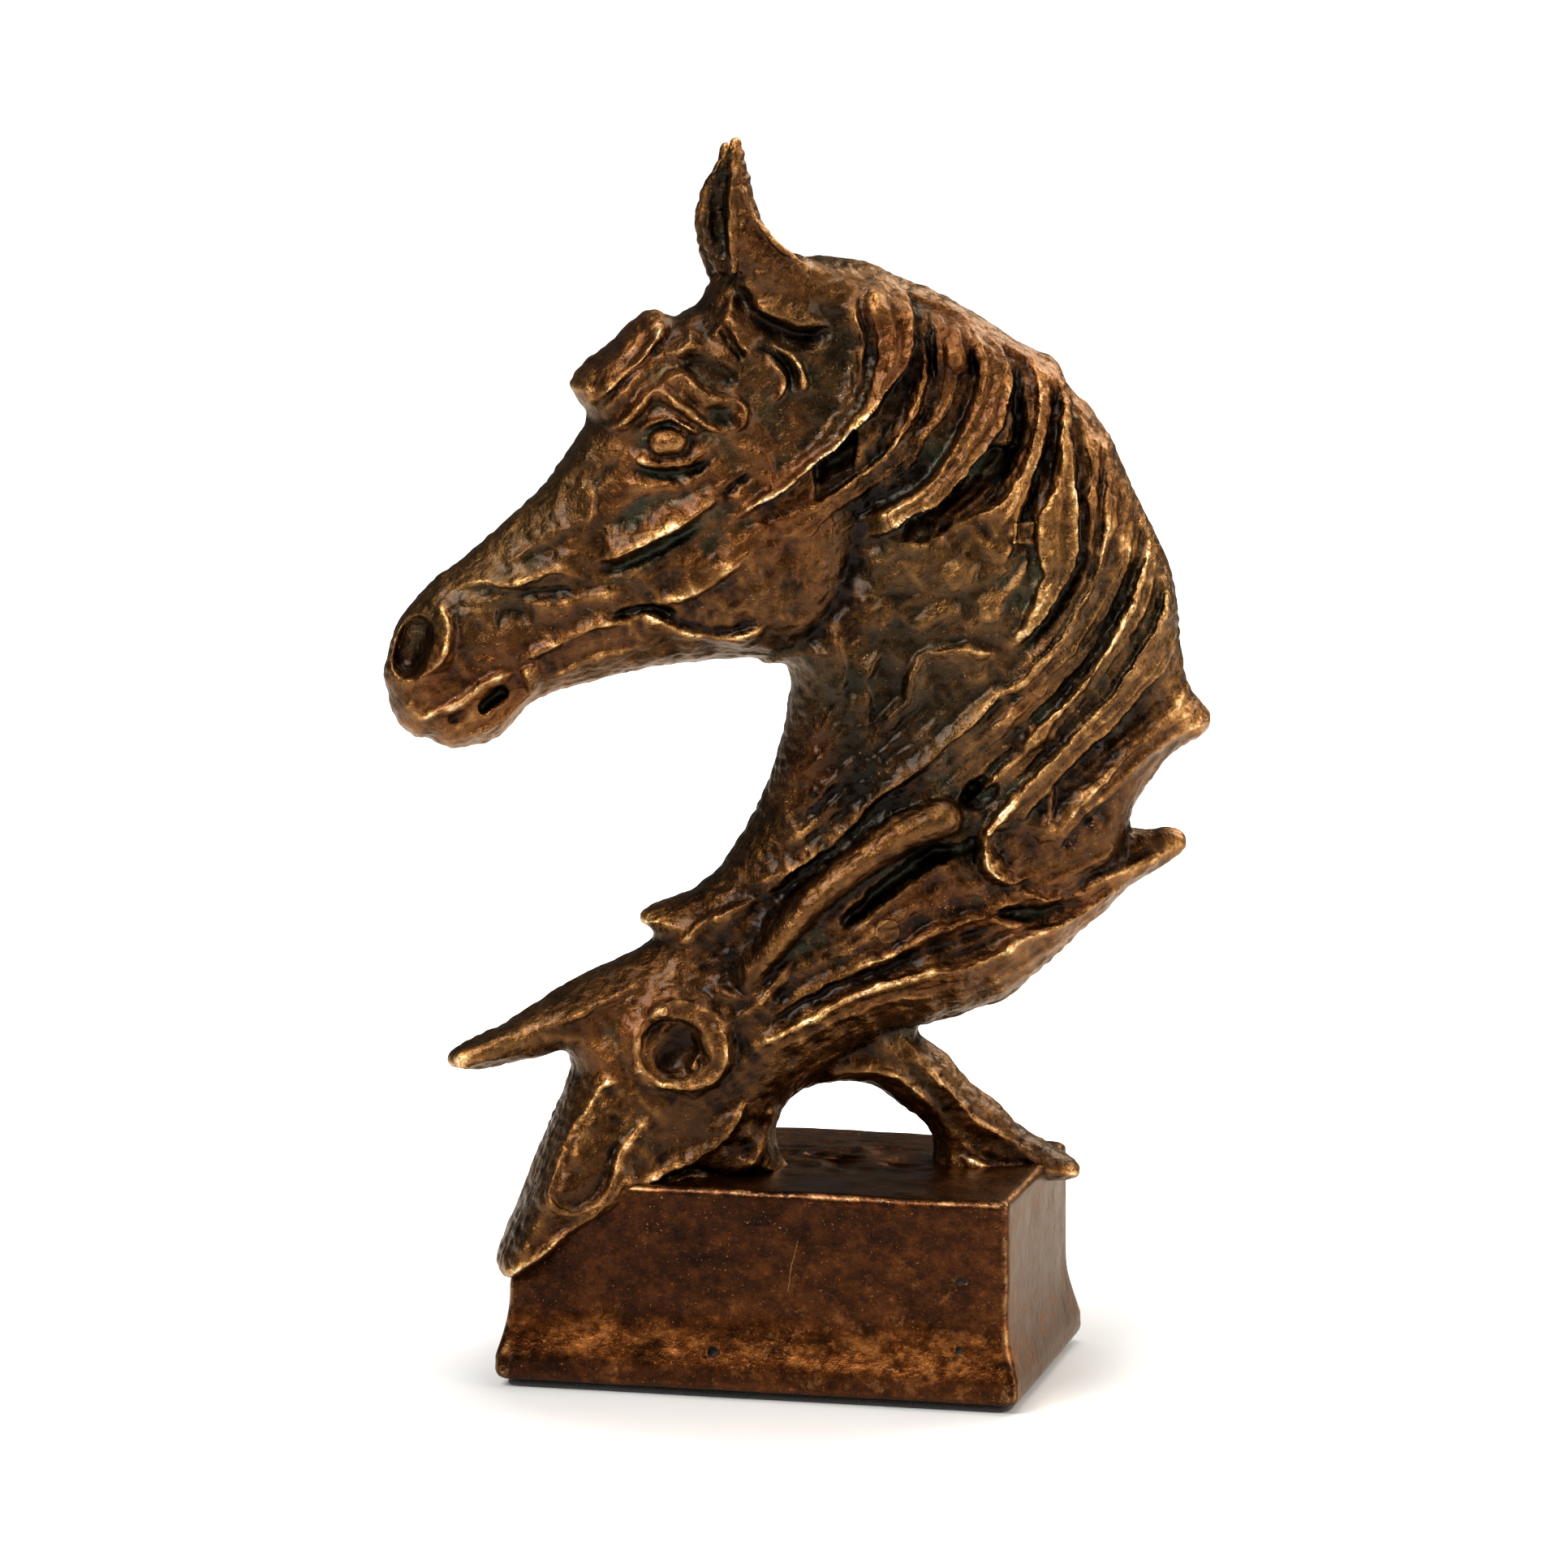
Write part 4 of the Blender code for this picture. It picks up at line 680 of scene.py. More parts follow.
def limb_field(stations, u, v, z):
    """A round form through stations of (u, v, z, in-plane radius, half thickness)."""
    best = None
    for first, second in zip(stations, stations[1:]):
        au, av, az, ar, aw = first
        bu, bv, bz, br, bw = second
        du, dv, dz = bu - au, bv - av, bz - az
        length = du * du + dv * dv + dz * dz + 1e-9
        t = np.clip(((u - au) * du + (v - av) * dv + (z - az) * dz) / length, 0, 1)
        radius, half = ar + (br - ar) * t, aw + (bw - aw) * t
        flat = ((u - au - t * du) ** 2 + (z - az - t * dz) ** 2) / radius ** 2
        deep = (v - av - t * dv) ** 2 / half ** 2
        k0 = np.sqrt(flat + deep)
        k1 = np.sqrt(flat / radius ** 2 + deep / half ** 2) + 1e-9
        gap = k0 * (k0 - 1) / k1
        best = gap if best is None else np.minimum(best, gap)
    return best


def add_limb(field, stations, blend, carve=False):
    """Joins the limb to the field, or carves it out of it."""
    s = np.asarray(stations, float)
    reach = s[:, 3:].max() + blend + 2
    block = tuple(slice(*np.searchsorted(axis, (s[:, i].min() - reach, s[:, i].max() + reach)))
                  for i, axis in enumerate((axis_u, axis_v, axis_z)))
    gap = limb_field(stations, axis_u[block[0]][:, None, None], axis_v[block[1]][None, :, None],
                     axis_z[block[2]][None, None, :])
    if carve:
        field[block] = -smooth_min(-field[block], gap, blend)
    else:
        field[block] = smooth_min(field[block], gap, blend)


def on_both_sides(field, stations, blend, carve=False, lift=0.0):
    """Adds or carves the stations, given for the far side, on both. `lift` moves the near side's up."""
    for side, up in ((1, 0.0), (-1, lift)):
        add_limb(field, [(u, side * v, z + up, r, w) for u, v, z, r, w in stations], blend, carve)


def add_details(field):
    """The raised lock on the neck, the ears, eyes and nostrils, the mouth's corners and the left spike."""
    tube = [
        (-11, 14.5, 92, 2.0, 4.4), (-6, 16.5, 100, 3.0, 6.0), (2, 18, 110.5, 3.6, 6.6),
        (12, 18.5, 119, 4.2, 6.8), (23, 19, 126.4, 4.6, 6.8), (32, 19, 129.8, 4.9, 6.6)]
    eyeball = [(-30.2, 17.4, 214.6, 3.3, 4.0), (-27.6, 17.7, 215, 3.4, 4.0)]
    nostril = [(-86.8, 10.5, 165.6, 4.2, 8.0), (-85.0, 10.5, 171.6, 4.6, 8.0)]
    mouth_corner = [(-69.4, 13, 155.0, 1.5, 4.4), (-65.6, 13, 157.8, 2.1, 4.8)]
    lower_socket = [(-28.6, 17.5, 76.8, 5.0, 3.8), (-27.4, 17.5, 78.6, 5.2, 3.8)]
    spike = [(-48, -5, 84, 4, 4.5), (-62, -6, 78.5, 3.3, 3.8), (-74, -6.5, 74.5, 2.4, 2.8)]
    on_both_sides(field, tube, 3.2)
    add_ears(field)
    on_both_sides(field, eyeball, 0.4)
    for hollow, blend in ((nostril, 0.8), (mouth_corner, 0.8), (lower_socket, 1.0)):
        on_both_sides(field, hollow, blend, carve=True)
    add_limb(field, spike, 2.0)


def add_ears(field):
    """A leaf of bronze curled round a hollow that opens forward, on a broad root."""
    blade = [
        (10, 8.5, 245.5, 6, 6), (1, 9.3, 247.5, 7.2, 7), (-6.5, 9.8, 252, 6.4, 6.6),
        (-10.4, 9.8, 258.5, 5.0, 5.4), (-12, 9.5, 265, 4.0, 4.4), (-12.6, 9.2, 271.5, 2.9, 3.2),
        (-12.9, 9, 277, 1.7, 2.0), (-13.0, 8.9, 280.2, 1.0, 1.2)]
    back_rim = [(-15.4, 6.6, 252, 2.2, 2.6), (-17.4, 6.0, 259, 2.5, 2.3), (-18.2, 5.8, 265, 2.5, 2.0),
                (-17.0, 6.4, 270.5, 2.0, 1.8), (-14.6, 7.5, 276, 1.2, 1.4)]
    hollow = [(-16.0, 12.6, 254.5, 1.6, 4.2), (-17.0, 12.8, 260.5, 2.4, 5.2), (-17.1, 12.4, 266.5, 2.4, 5.0),
              (-15.8, 11.6, 272, 1.5, 3.6)]
    near_rim = [(-13.6, 13.2, 252, 1.1, 1.0), (-14.2, 13.9, 258.5, 1.0, 1.1), (-14.3, 13.6, 264, 1.0, 1.1),
                (-14.0, 12.5, 270, 1.0, 1.0), (-13.2, 10.4, 276, 1.0, 1.1), (-13.0, 9.2, 279, 0.9, 1.1)]
    crest = [(2, 14.5, 252.5, 1.0, 1.6), (-4.5, 15, 258, 0.9, 1.4), (-9.5, 14.4, 264, 0.8, 1.1),
             (-12.0, 13, 270, 0.7, 0.9), (-12.8, 10.4, 277, 0.8, 0.9), (-13.0, 9.2, 279, 0.8, 1.0)]
    for stations, blend, carve in ((blade, 3.0, False), (back_rim, 1.4, False), (hollow, 0.6, True),
                                   (near_rim, 0.8, False), (crest, 1.2, False)):
        lowered = [(u, v, z - EAR_DROOP, r, w) for u, v, z, r, w in stations]
        on_both_sides(field, lowered, blend, carve, EAR_DROOP)


def box_blur(values, reach):
    """The mean over a box of about `reach` mm each way."""
    half = max(1, round(reach / STEP))
    for axis in range(3):
        padded = np.pad(values, [(half + 1, half) if i == axis else (0, 0) for i in range(3)], mode="edge")
        total = np.cumsum(padded, axis=axis, dtype=np.float64 if half > 6 else np.float32)
        size = values.shape[axis]
        top = np.take(total, np.arange(2 * half + 1, 2 * half + 1 + size), axis=axis)
        bottom = np.take(total, np.arange(size), axis=axis)
        values = ((top - bottom) / (2 * half + 1)).astype(np.float32)
    return values


def make_field():
    """The whole sculpture's field, its relief on both sides, and how much bronze surrounds each place."""
    sides = paint_sides()
    blend = smoothstep(-SIDE_BLEND, SIDE_BLEND, axis_v)[None, :, None]
    near, far = (on_field_grid(form)[:, None, :] for form, _ in sides)
    height = (near * (1 - blend) + far * blend).astype(np.float32)
    field = swollen_form(HEAD_OUTLINE, HEAD_WIDTHS, HEAD_ROUNDINGS, height)
    field = smooth_min(field, swollen_form(NECK_OUTLINE, NECK_WIDTHS, NECK_ROUNDINGS, height), 2.5)
    lower = swollen_form(LOWER_OUTLINE, LOWER_WIDTHS, LOWER_ROUNDINGS, height, LOWER_CENTRES)
    field = smooth_min(field, lower, 2.5)
    field = smooth_min(field, swollen_form(STRUT_OUTLINE, STRUT_WIDTHS, STRUT_ROUNDINGS, height), 3)
    add_details(field)
    solid = np.clip(0.5 - field / (2 * STEP), 0, 1).astype(np.float32)
    fullness = [box_blur(box_blur(solid, reach), reach) for reach in (0.9, 2.2, 6.0)]
    return field, sides, fullness


# ---------------------------------------------------------------- from field to mesh
def surface_of(field):
    """Vertices (in grid steps) and quads of the field's zero surface, one vertex to each cell it crosses."""
    inside = field < 0
    corners = [(i, j, k) for i in (0, 1) for j in (0, 1) for k in (0, 1)]
    nx, ny, nz = field.shape
    count = np.zeros((nx - 1, ny - 1, nz - 1), np.int8)
    for i, j, k in corners:
        count += inside[i:nx - 1 + i, j:ny - 1 + j, k:nz - 1 + k]
    cells = np.argwhere((count > 0) & (count < 8))
    number = np.full(count.shape, -1, np.int32)
    number[tuple(cells.T)] = np.arange(len(cells))
    value = {c: field[tuple((cells + c).T)] for c in corners}
    total = np.zeros((len(cells), 3))
    hits = np.zeros(len(cells))
    for a in corners:
        for axis in range(3):
            if a[axis]:
                continue
            b = tuple(1 if i == axis else a[i] for i in range(3))
            fa, fb = value[a], value[b]
            crossed = (fa < 0) != (fb < 0)
            t = np.where(crossed, fa / np.where(crossed, fa - fb, 1), 0)
            place = np.tile(np.array(a, float), (len(cells), 1))
            place[:, axis] += t
            total += np.where(crossed[:, None], place, 0)
            hits += crossed
    verts = cells + total / hits[:, None]
    quads = []
    for axis in range(3):
        p, q = [i for i in range(3) if i != axis]
        first = inside[tuple(slice(0, -1) if i == axis else slice(None) for i in range(3))]
        second = inside[tuple(slice(1, None) if i == axis else slice(None) for i in range(3))]
        edges = np.argwhere(first != second)
        edges = edges[(edges[:, p] > 0) & (edges[:, q] > 0)]
        edges = edges[(edges[:, p] < field.shape[p] - 1) & (edges[:, q] < field.shape[q] - 1)]
        ring = []
        for dp, dq in ((0, 0), (-1, 0), (-1, -1), (0, -1)):
            cell = edges.copy()
            cell[:, p] += dp
            cell[:, q] += dq
            ring.append(number[tuple(cell.T)])
        ring = np.stack(ring, 1)
        outward = inside[tuple(edges.T)]
        flip = outward if axis != 1 else ~outward
        ring[flip] = ring[flip][:, ::-1]
        quads.append(ring)
    return verts, np.vstack(quads)


def vertex_normals(verts, quads):
    """Unit normals, each from the area of the faces round its vertex."""
    across = np.cross(verts[quads[:, 2]] - verts[quads[:, 0]], verts[quads[:, 3]] - verts[quads[:, 1]])
    normals = np.zeros_like(verts)
    for corner in range(4):
        for axis in range(3):
            normals[:, axis] += np.bincount(quads[:, corner], across[:, axis], len(verts))
    return normals / (np.linalg.norm(normals, axis=1, keepdims=True) + 1e-9)


def sample(volume, places):
    """The volume's values at these places, given in grid steps."""
    cell = np.clip(np.floor(places).astype(int), 0, np.array(volume.shape) - 2)
    t = places - cell
    total = 0
    for i in (0, 1):
        for j in (0, 1):
            for k in (0, 1):
                share = (np.where(i, t[:, 0], 1 - t[:, 0]) * np.where(j, t[:, 1], 1 - t[:, 1])
                         * np.where(k, t[:, 2], 1 - t[:, 2]))
                total = total + share * volume[cell[:, 0] + i, cell[:, 1] + j, cell[:, 2] + k]
    return total


def sample_map(relief_map, u, z):
    """The relief map's values at these places, in mm."""
    x = np.clip((u - LOW[0]) / MAP_STEP, 0, map_u.size - 1.001)
    y = np.clip((z - LOW[2]) / MAP_STEP, 0, map_z.size - 1.001)
    i, j = x.astype(int), y.astype(int)
    s, t = x - i, y - j
    return (relief_map[i, j] * (1 - s) * (1 - t) + relief_map[i + 1, j] * s * (1 - t)
            + relief_map[i, j + 1] * (1 - s) * t + relief_map[i + 1, j + 1] * s * t)


def to_world(places):
    """World metres from (u, v, z) in mm."""
    u, v, z = places.T
    c, s = math.cos(PLANE_TURN), math.sin(PLANE_TURN)
    return np.stack([u * c - v * s, PLANE_SHIFT + u * s + v * c, z], 1) * MM


def regions():
    """For each casting, the distance inside its own region, as a volume."""
    far = 140.0
    head = inside_distance(np.array(HEAD_LINE + [(52, 320), (-far, 320), (-far, 135), (-12, 135)]))
    neck = inside_distance(np.array(HEAD_LINE + [(far, 246), (far, 127)] + NECK_LINE[::-1] + [(-32, 157)]))
    lower = inside_distance(np.array(NECK_LINE + [(far, 127), (far, 76)] + STRUT_LINE[::-1]
                                     + [(2, 0), (-far, 0), (-far, 113)]))
    strut = inside_distance(np.array(STRUT_LINE + [(far, 76), (far, 0), (2, 0)]))
    ear = inside_distance(np.array(EAR_SEAT))
    v = axis_v[None, :, None]
    ears = np.minimum(ear[:, None, :], np.abs(v) - EAR_GAP)
    flat = np.zeros((1, axis_v.size, 1), np.float32)
    return {
        "upper_head_casting": np.minimum(head[:, None, :], -ears),
        "near_ear": np.minimum(ear[:, None, :], -v - EAR_GAP),
        "far_ear": np.minimum(ear[:, None, :], v - EAR_GAP),
        "neck_casting": neck[:, None, :] + flat,
        "lower_head_casting": lower[:, None, :] + flat,
        "strut_casting": strut[:, None, :] + flat,
    }


def slump(x, y, z):
    """How far the base is melted in under the lower muzzle, as (x, y) shifts in mm: most at its corner, and a
    little along its end."""
    low_x, low_y = (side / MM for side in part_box("base_casting")[0][:2])
    reach = 11
    corner = np.exp(-((x - low_x) / reach) ** 2 - ((y - low_y) / reach) ** 2) * smoothstep(23, 37, z)
    end = smoothstep(low_y + 36, low_y + 27, y) * smoothstep(low_x + 22, low_x + 5, x) * smoothstep(37, 46, z)
    return 6.0 * corner + 2.6 * end, 4.0 * corner


def base_seat():
    """Distance above the base's top plate or outside its sides, over the field's grid."""
    high_x, high_y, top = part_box("base_casting")[1]
    waist_x, waist_y = high_x / MM - FLARE, high_y / MM - FLARE
    u, v, z = axis_u[:, None, None], axis_v[None, :, None], axis_z[None, None, :]
    c, s = math.cos(PLANE_TURN), math.sin(PLANE_TURN)
    x, y = u * c - v * s, PLANE_SHIFT + u * s + v * c
    melted_x, melted_y = slump(x, y, z)
    x, y = x - melted_x, y - melted_y
    side = np.maximum(np.abs(x) - waist_x, np.abs(y) - waist_y)
    return np.maximum(side, z - top / MM).astype(np.float32)


def casting_field(name, field, region, seat):
    """The part of the field in one casting's region, run on a little under its neighbours and the base."""
    beyond = np.clip(-region / 0.5, 0, 1) * TUCK
    made = np.maximum(field + beyond, -(region + LAP)).astype(np.float32)
    if name in ("lower_head_casting", "strut_casting"):
        made = np.maximum(made, -SUNK - seat)
    return made


def largest_body(verts, quads):
    """The connected piece with the most faces: which vertices it uses, and its quads renumbered to them."""
    label = np.arange(len(verts))
    while True:
        low = label[quads].min(axis=1)
        fresh = label.copy()
        for corner in range(4):
            np.minimum.at(fresh, quads[:, corner], low)
        fresh = fresh[fresh]
        if np.array_equal(fresh, label):
            break
        label = fresh
    names, counts = np.unique(label[quads[:, 0]], return_counts=True)
    keep = label[quads[:, 0]] == names[counts.argmax()]
    used = np.unique(quads[keep])
    renumber = np.full(len(verts), -1)
    renumber[used] = np.arange(len(used))
    return used, renumber[quads[keep]]


def new_object(name, data):
    obj = bpy.data.objects.new(name, data)
    bpy.context.scene.collection.objects.link(obj)
    return obj


def mesh_from(name, bm):
    mesh = bpy.data.meshes.new(name)
    bm.to_mesh(mesh)
    bm.free()
    return mesh


def mesh_object(name, verts, faces, attributes):
    """A smooth-shaded object with these point attributes."""
    mesh = bpy.data.meshes.new(name)
    mesh.from_pydata(verts.tolist(), [], faces.tolist())
    for label, values in attributes.items():
        layer = mesh.attributes.new(label, "FLOAT", "POINT")
        layer.data.foreach_set("value", values.astype(np.float32))
    mesh.update()
    mesh.polygons.foreach_set("use_smooth", np.ones(len(faces), bool))
    return new_object(name, mesh)


def ear_hollow_painted_shade(places):
    """1 inside the ears' hollows, where shade is painted, 0 elsewhere, with the near ear standing higher than
    the far one.
    """
    u, v, z = places.T
    up = z - np.where(v < 0, 0.0, -EAR_DROOP)
    middle_u = -17.2 + 0.045 * np.abs(up - 262) + 0.004 * (up - 262) ** 2
    across = np.abs(u - middle_u) / 2.6
    along = np.abs(up - 262.5) / 12.5
    return smoothstep(1.1, 0.75, np.hypot(across, along)) * smoothstep(12.6, 11.0, np.abs(v))


def fine_surface(places, normals, sides):
    """How far each point stands out by hair and tool marks, in mm, how much of it is hair, and its crisp
    small facets, which the patina follows too."""
    u, v, z = places.T
    share = smoothstep(-SIDE_BLEND, SIDE_BLEND, v)
    near, far = (sample_map(hair, u, z) for _, hair in sides)
    hair = near * (1 - share) + far * share
    facing = np.abs(normals[:, 1])
    crisp = 1 - 2 * np.abs(noise3(places * (1, 1, 0.7), 1.7, 5))
    strands = 1 - 2 * np.abs(noise3(places * (0.2, 1, 0.2), 2.3, 6))
    edge_hair = (1 - facing) * (0.3 + 0.7 * smoothstep(5, 20, u)) * (strands - 0.4)
    rough = 0.14 * noise3(places, 5.0, 3) + 0.18 * (1 - 2 * np.abs(noise3(places, 2.6, 4))) + 0.08 * crisp
    return hair * (0.35 + 0.65 * facing) + rough + 0.5 * edge_hair, hair + 0.4 * edge_hair, crisp


def build_castings(bronze):
    """Each casting's surface, with how worn and how hollow every point is, for the patina and for the painted
    light and shade that ride on both.
    """
    field, sides, fullness = make_field()
    seat = base_seat()
    patina = np.repeat(spread(PATINA_AND_PAINTED_LIGHT, 9.0)[:, None, :], 2, axis=1)
    for name, region in regions().items():
        verts, quads = surface_of(casting_field(name, field, region, seat))
        used, quads = largest_body(verts, quads)
        steps = verts[used]
        places = steps * STEP + LOW
        normals = vertex_normals(places, quads)
        rise, hair, crisp = fine_surface(places, normals, sides)
        fine, mid, broad = (0.5 - sample(volume, steps) for volume in fullness)
        if name.endswith("ear"):
            rise = 1.7 * rise
        places = places + normals * rise[:, None]
        wear = 2.2 * fine + 1.0 * mid + 0.5 * np.clip(broad, -0.2, 0.3) + 0.6 * (hair - 0.25)
        # The tone knots add the patina's variation and painted light and shade to the wear.
        wear += sample(patina, steps * (1, 0, 1)) + 0.13 * (crisp - 0.4)
        # How hollow each point is: the material darkens it to near black, partly patina left in the hollows
        # and partly painted shade.
        hollow = -(1.4 * mid + 2.1 * broad) - 0.3 * (hair - 0.2)
        # Painted shade: the ears' hollows are made darker and counted as more hollow.
        if name.endswith("ear"):
            inside = ear_hollow_painted_shade(places)
            wear = 0.8 * wear - 0.14 - 0.9 * inside
            hollow += 0.45 * inside
        obj = mesh_object(f"{name}_bronze", to_world(places), quads, {"wear": wear, "hollow": hollow})
        finish(obj, bronze, "bronze", name)
    build_plugs(field, bronze)


# Each plug's (u, z), its side (-1 near, 1 far), half width, whether it is square, and how far it stands out.
PLUGS = {
    "core_plug_neck_near": ((50.4, 193.4), -1, 2.5, True, 1.3),
    "core_plug_neck_far": ((46.0, 176.0), 1, 3.0, False, 0.35),
    "core_plug_lower_near": ((20.0, 104.0), -1, 3.0, False, 0.25),
    "core_plug_lower_far": ((24.0, 106.0), 1, 3.0, False, 0.35),
}


def build_plugs(field, bronze):
    """The plugs in the core pins' holes, chased over; one was left as a rough square lug."""
    for name, ((at_u, at_z), side, half, square, proud) in PLUGS.items():
        middle = axis_v.size // 2
        part_u, part_z = (slice(*np.searchsorted(axis, (at - half - 3, at + half + 3)))
                          for axis, at in ((axis_u, at_u), (axis_z, at_z)))
        block = (part_u, slice(0, middle) if side < 0 else slice(middle, None), part_z)
        near_u, near_z = axis_u[part_u][:, None, None] - at_u, axis_z[part_z][None, None, :] - at_z
        off = np.maximum(np.abs(near_u), np.abs(near_z)) if square else np.hypot(near_u, near_z)
        plate = field[block] - proud
        foot = -(plate + 2.4 + proud)
        made = np.maximum(np.maximum(plate, off - half), foot).astype(np.float32)
        verts, quads = surface_of(made)
        used, quads = largest_body(verts, quads)
        corner = np.array([axis[part.start or 0] for axis, part in zip((axis_u, axis_v, axis_z), block)])
        places = verts[used] * STEP + corner
        normals = vertex_normals(places, quads)
        coarse = 0.45 if square else 0.15
        rise = coarse * noise3(places, 1.7, 61) + 0.12 * noise3(places, 0.9, 62)
        places = places + normals * rise[:, None]
        from_middle = np.abs(places[:, ::2] - (at_u, at_z)).max(axis=1)
        wear = coarse * (1.5 * noise3(places, 1.4, 63) - 0.3)
        wear += 1.6 * coarse * smoothstep(half - 1.1, half - 0.2, from_middle)
        hollow = np.full(len(places), 0.1)
        obj = mesh_object(f"{name}_bronze", to_world(places), quads, {"wear": wear, "hollow": hollow})
        finish(obj, bronze, "bronze", name)


def finish(obj, material, slot, *nodes):
    """Gives the piece its material and its place on the statue."""
    obj.data.materials.append(material)
    adopt(obj, slot, *nodes)


def adopt(obj, slot, *nodes):
    """Puts the piece on the statue's one body, in the place of its CAD nodes."""
    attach(obj, "root")
    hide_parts(*nodes)


# ---------------------------------------------------------------- materials
class Nodes:
    """Builds a node tree from short calls."""

    def __init__(self, name):
        self.material = bpy.data.materials.new(name)
        self.material.use_nodes = True
        self.tree = self.material.node_tree
        self.shader = self.tree.nodes["Principled BSDF"]
        self.place = self.add("ShaderNodeTexCoord").outputs["Object"]

    def add(self, kind, **settings):
        node = self.tree.nodes.new(kind)
        for key, value in settings.items():
            setattr(node, key, value)
        return node

    def link(self, value, socket):
        if isinstance(value, (int, float)):
            socket.default_value = value
        elif isinstance(value, tuple):
            socket.default_value = (*value, 1.0)
        else:
            self.tree.links.new(value, socket)

    def math(self, operation, a, b=0.0, clamp=False):
        node = self.add("ShaderNodeMath", operation=operation, use_clamp=clamp)
        self.link(a, node.inputs[0])
        self.link(b, node.inputs[1])
        return node.outputs[0]

    def noise(self, scale, detail, rough=0.5, stretch=None):
        node = self.add("ShaderNodeTexNoise")
        where = self.place
        if stretch:
            mapping = self.add("ShaderNodeMapping")
            mapping.inputs["Scale"].default_value = stretch
            self.link(self.place, mapping.inputs["Vector"])
            where = mapping.outputs[0]
        self.link(where, node.inputs["Vector"])
        node.inputs["Scale"].default_value = scale
        node.inputs["Detail"].default_value = detail
        node.inputs["Roughness"].default_value = rough
        return node.outputs["Fac"]

    def cells(self, scale):
        node = self.add("ShaderNodeTexVoronoi")
        self.link(self.place, node.inputs["Vector"])
        node.inputs["Scale"].default_value = scale
        return node.outputs["Distance"]

    def attribute(self, name):
        return self.add("ShaderNodeAttribute", attribute_name=name).outputs["Fac"]

    def ramp(self, value, *stops):
        node = self.add("ShaderNodeValToRGB")
        elements = node.color_ramp.elements
        while len(elements) < len(stops):
            elements.new(0.5)
        for element, (place, colour) in zip(elements, stops):
            element.position = place
            element.color = (*colour, 1.0)
        self.link(value, node.inputs[0])
        return node.outputs[0]

    def map(self, value, low, high, to_low=0.0, to_high=1.0):
        node = self.add("ShaderNodeMapRange")
        self.link(value, node.inputs["Value"])
        for key, number in (("From Min", low), ("From Max", high), ("To Min", to_low), ("To Max", to_high)):
            node.inputs[key].default_value = number
        return node.outputs[0]

    def mix(self, share, a, b):
        node = self.add("ShaderNodeMix", data_type="RGBA")
        self.link(share, node.inputs[0])
        self.link(a, node.inputs[6])
        self.link(b, node.inputs[7])
        return node.outputs[2]

    def plus(self, total, value, amount):
        """The total with this much of the value added."""
        return self.math("ADD", total, self.math("MULTIPLY", value, amount))

    def both(self, a, b):
        """1 where both masks are 1, 0 where either is 0."""
        return self.math("MULTIPLY", a, b, clamp=True)

    def lay(self, below, colour, where, amount):
        """The colour laid over another by this amount, where the mask is 1."""
        return self.mix(self.math("MULTIPLY", where, amount), below, colour)

    def bump(self, height, distance, strength, normal=None):
        node = self.add("ShaderNodeBump")
        self.link(height, node.inputs["Height"])
        node.inputs["Distance"].default_value = distance
        node.inputs["Strength"].default_value = strength
        if normal is not None:
            self.link(normal, node.inputs["Normal"])
        return node.outputs[0]

    def set(self, **values):
        for key, value in values.items():
            self.link(value, self.shader.inputs[key.replace("_", " ")])


DEEP, DARK, BROWN = (0.0030, 0.0012, 0.0005), (0.018, 0.0068, 0.0019), (0.070, 0.0275, 0.0070)
COPPER, GOLD, BRIGHT = (0.185, 0.080, 0.021), (0.46, 0.25, 0.085), (0.92, 0.66, 0.36)
OLIVE, RUST, VERDIGRIS = (0.070, 0.058, 0.026), (0.115, 0.030, 0.0065), (0.070, 0.080, 0.045)
FLECK = (0.50, 0.27, 0.10)
EDGE_TINT = (0.90, 0.78, 0.66)  # what the metal reflects at a grazing angle


def pinholes(n, cells, width, patches, low, high):
    """1 in tiny gas pits, which lie in patches, 0 elsewhere."""
    holes = n.map(n.cells(cells), 0.0, width, 1.0, 0.0)
    return n.both(holes, n.map(n.noise(patches, 2), low, high))


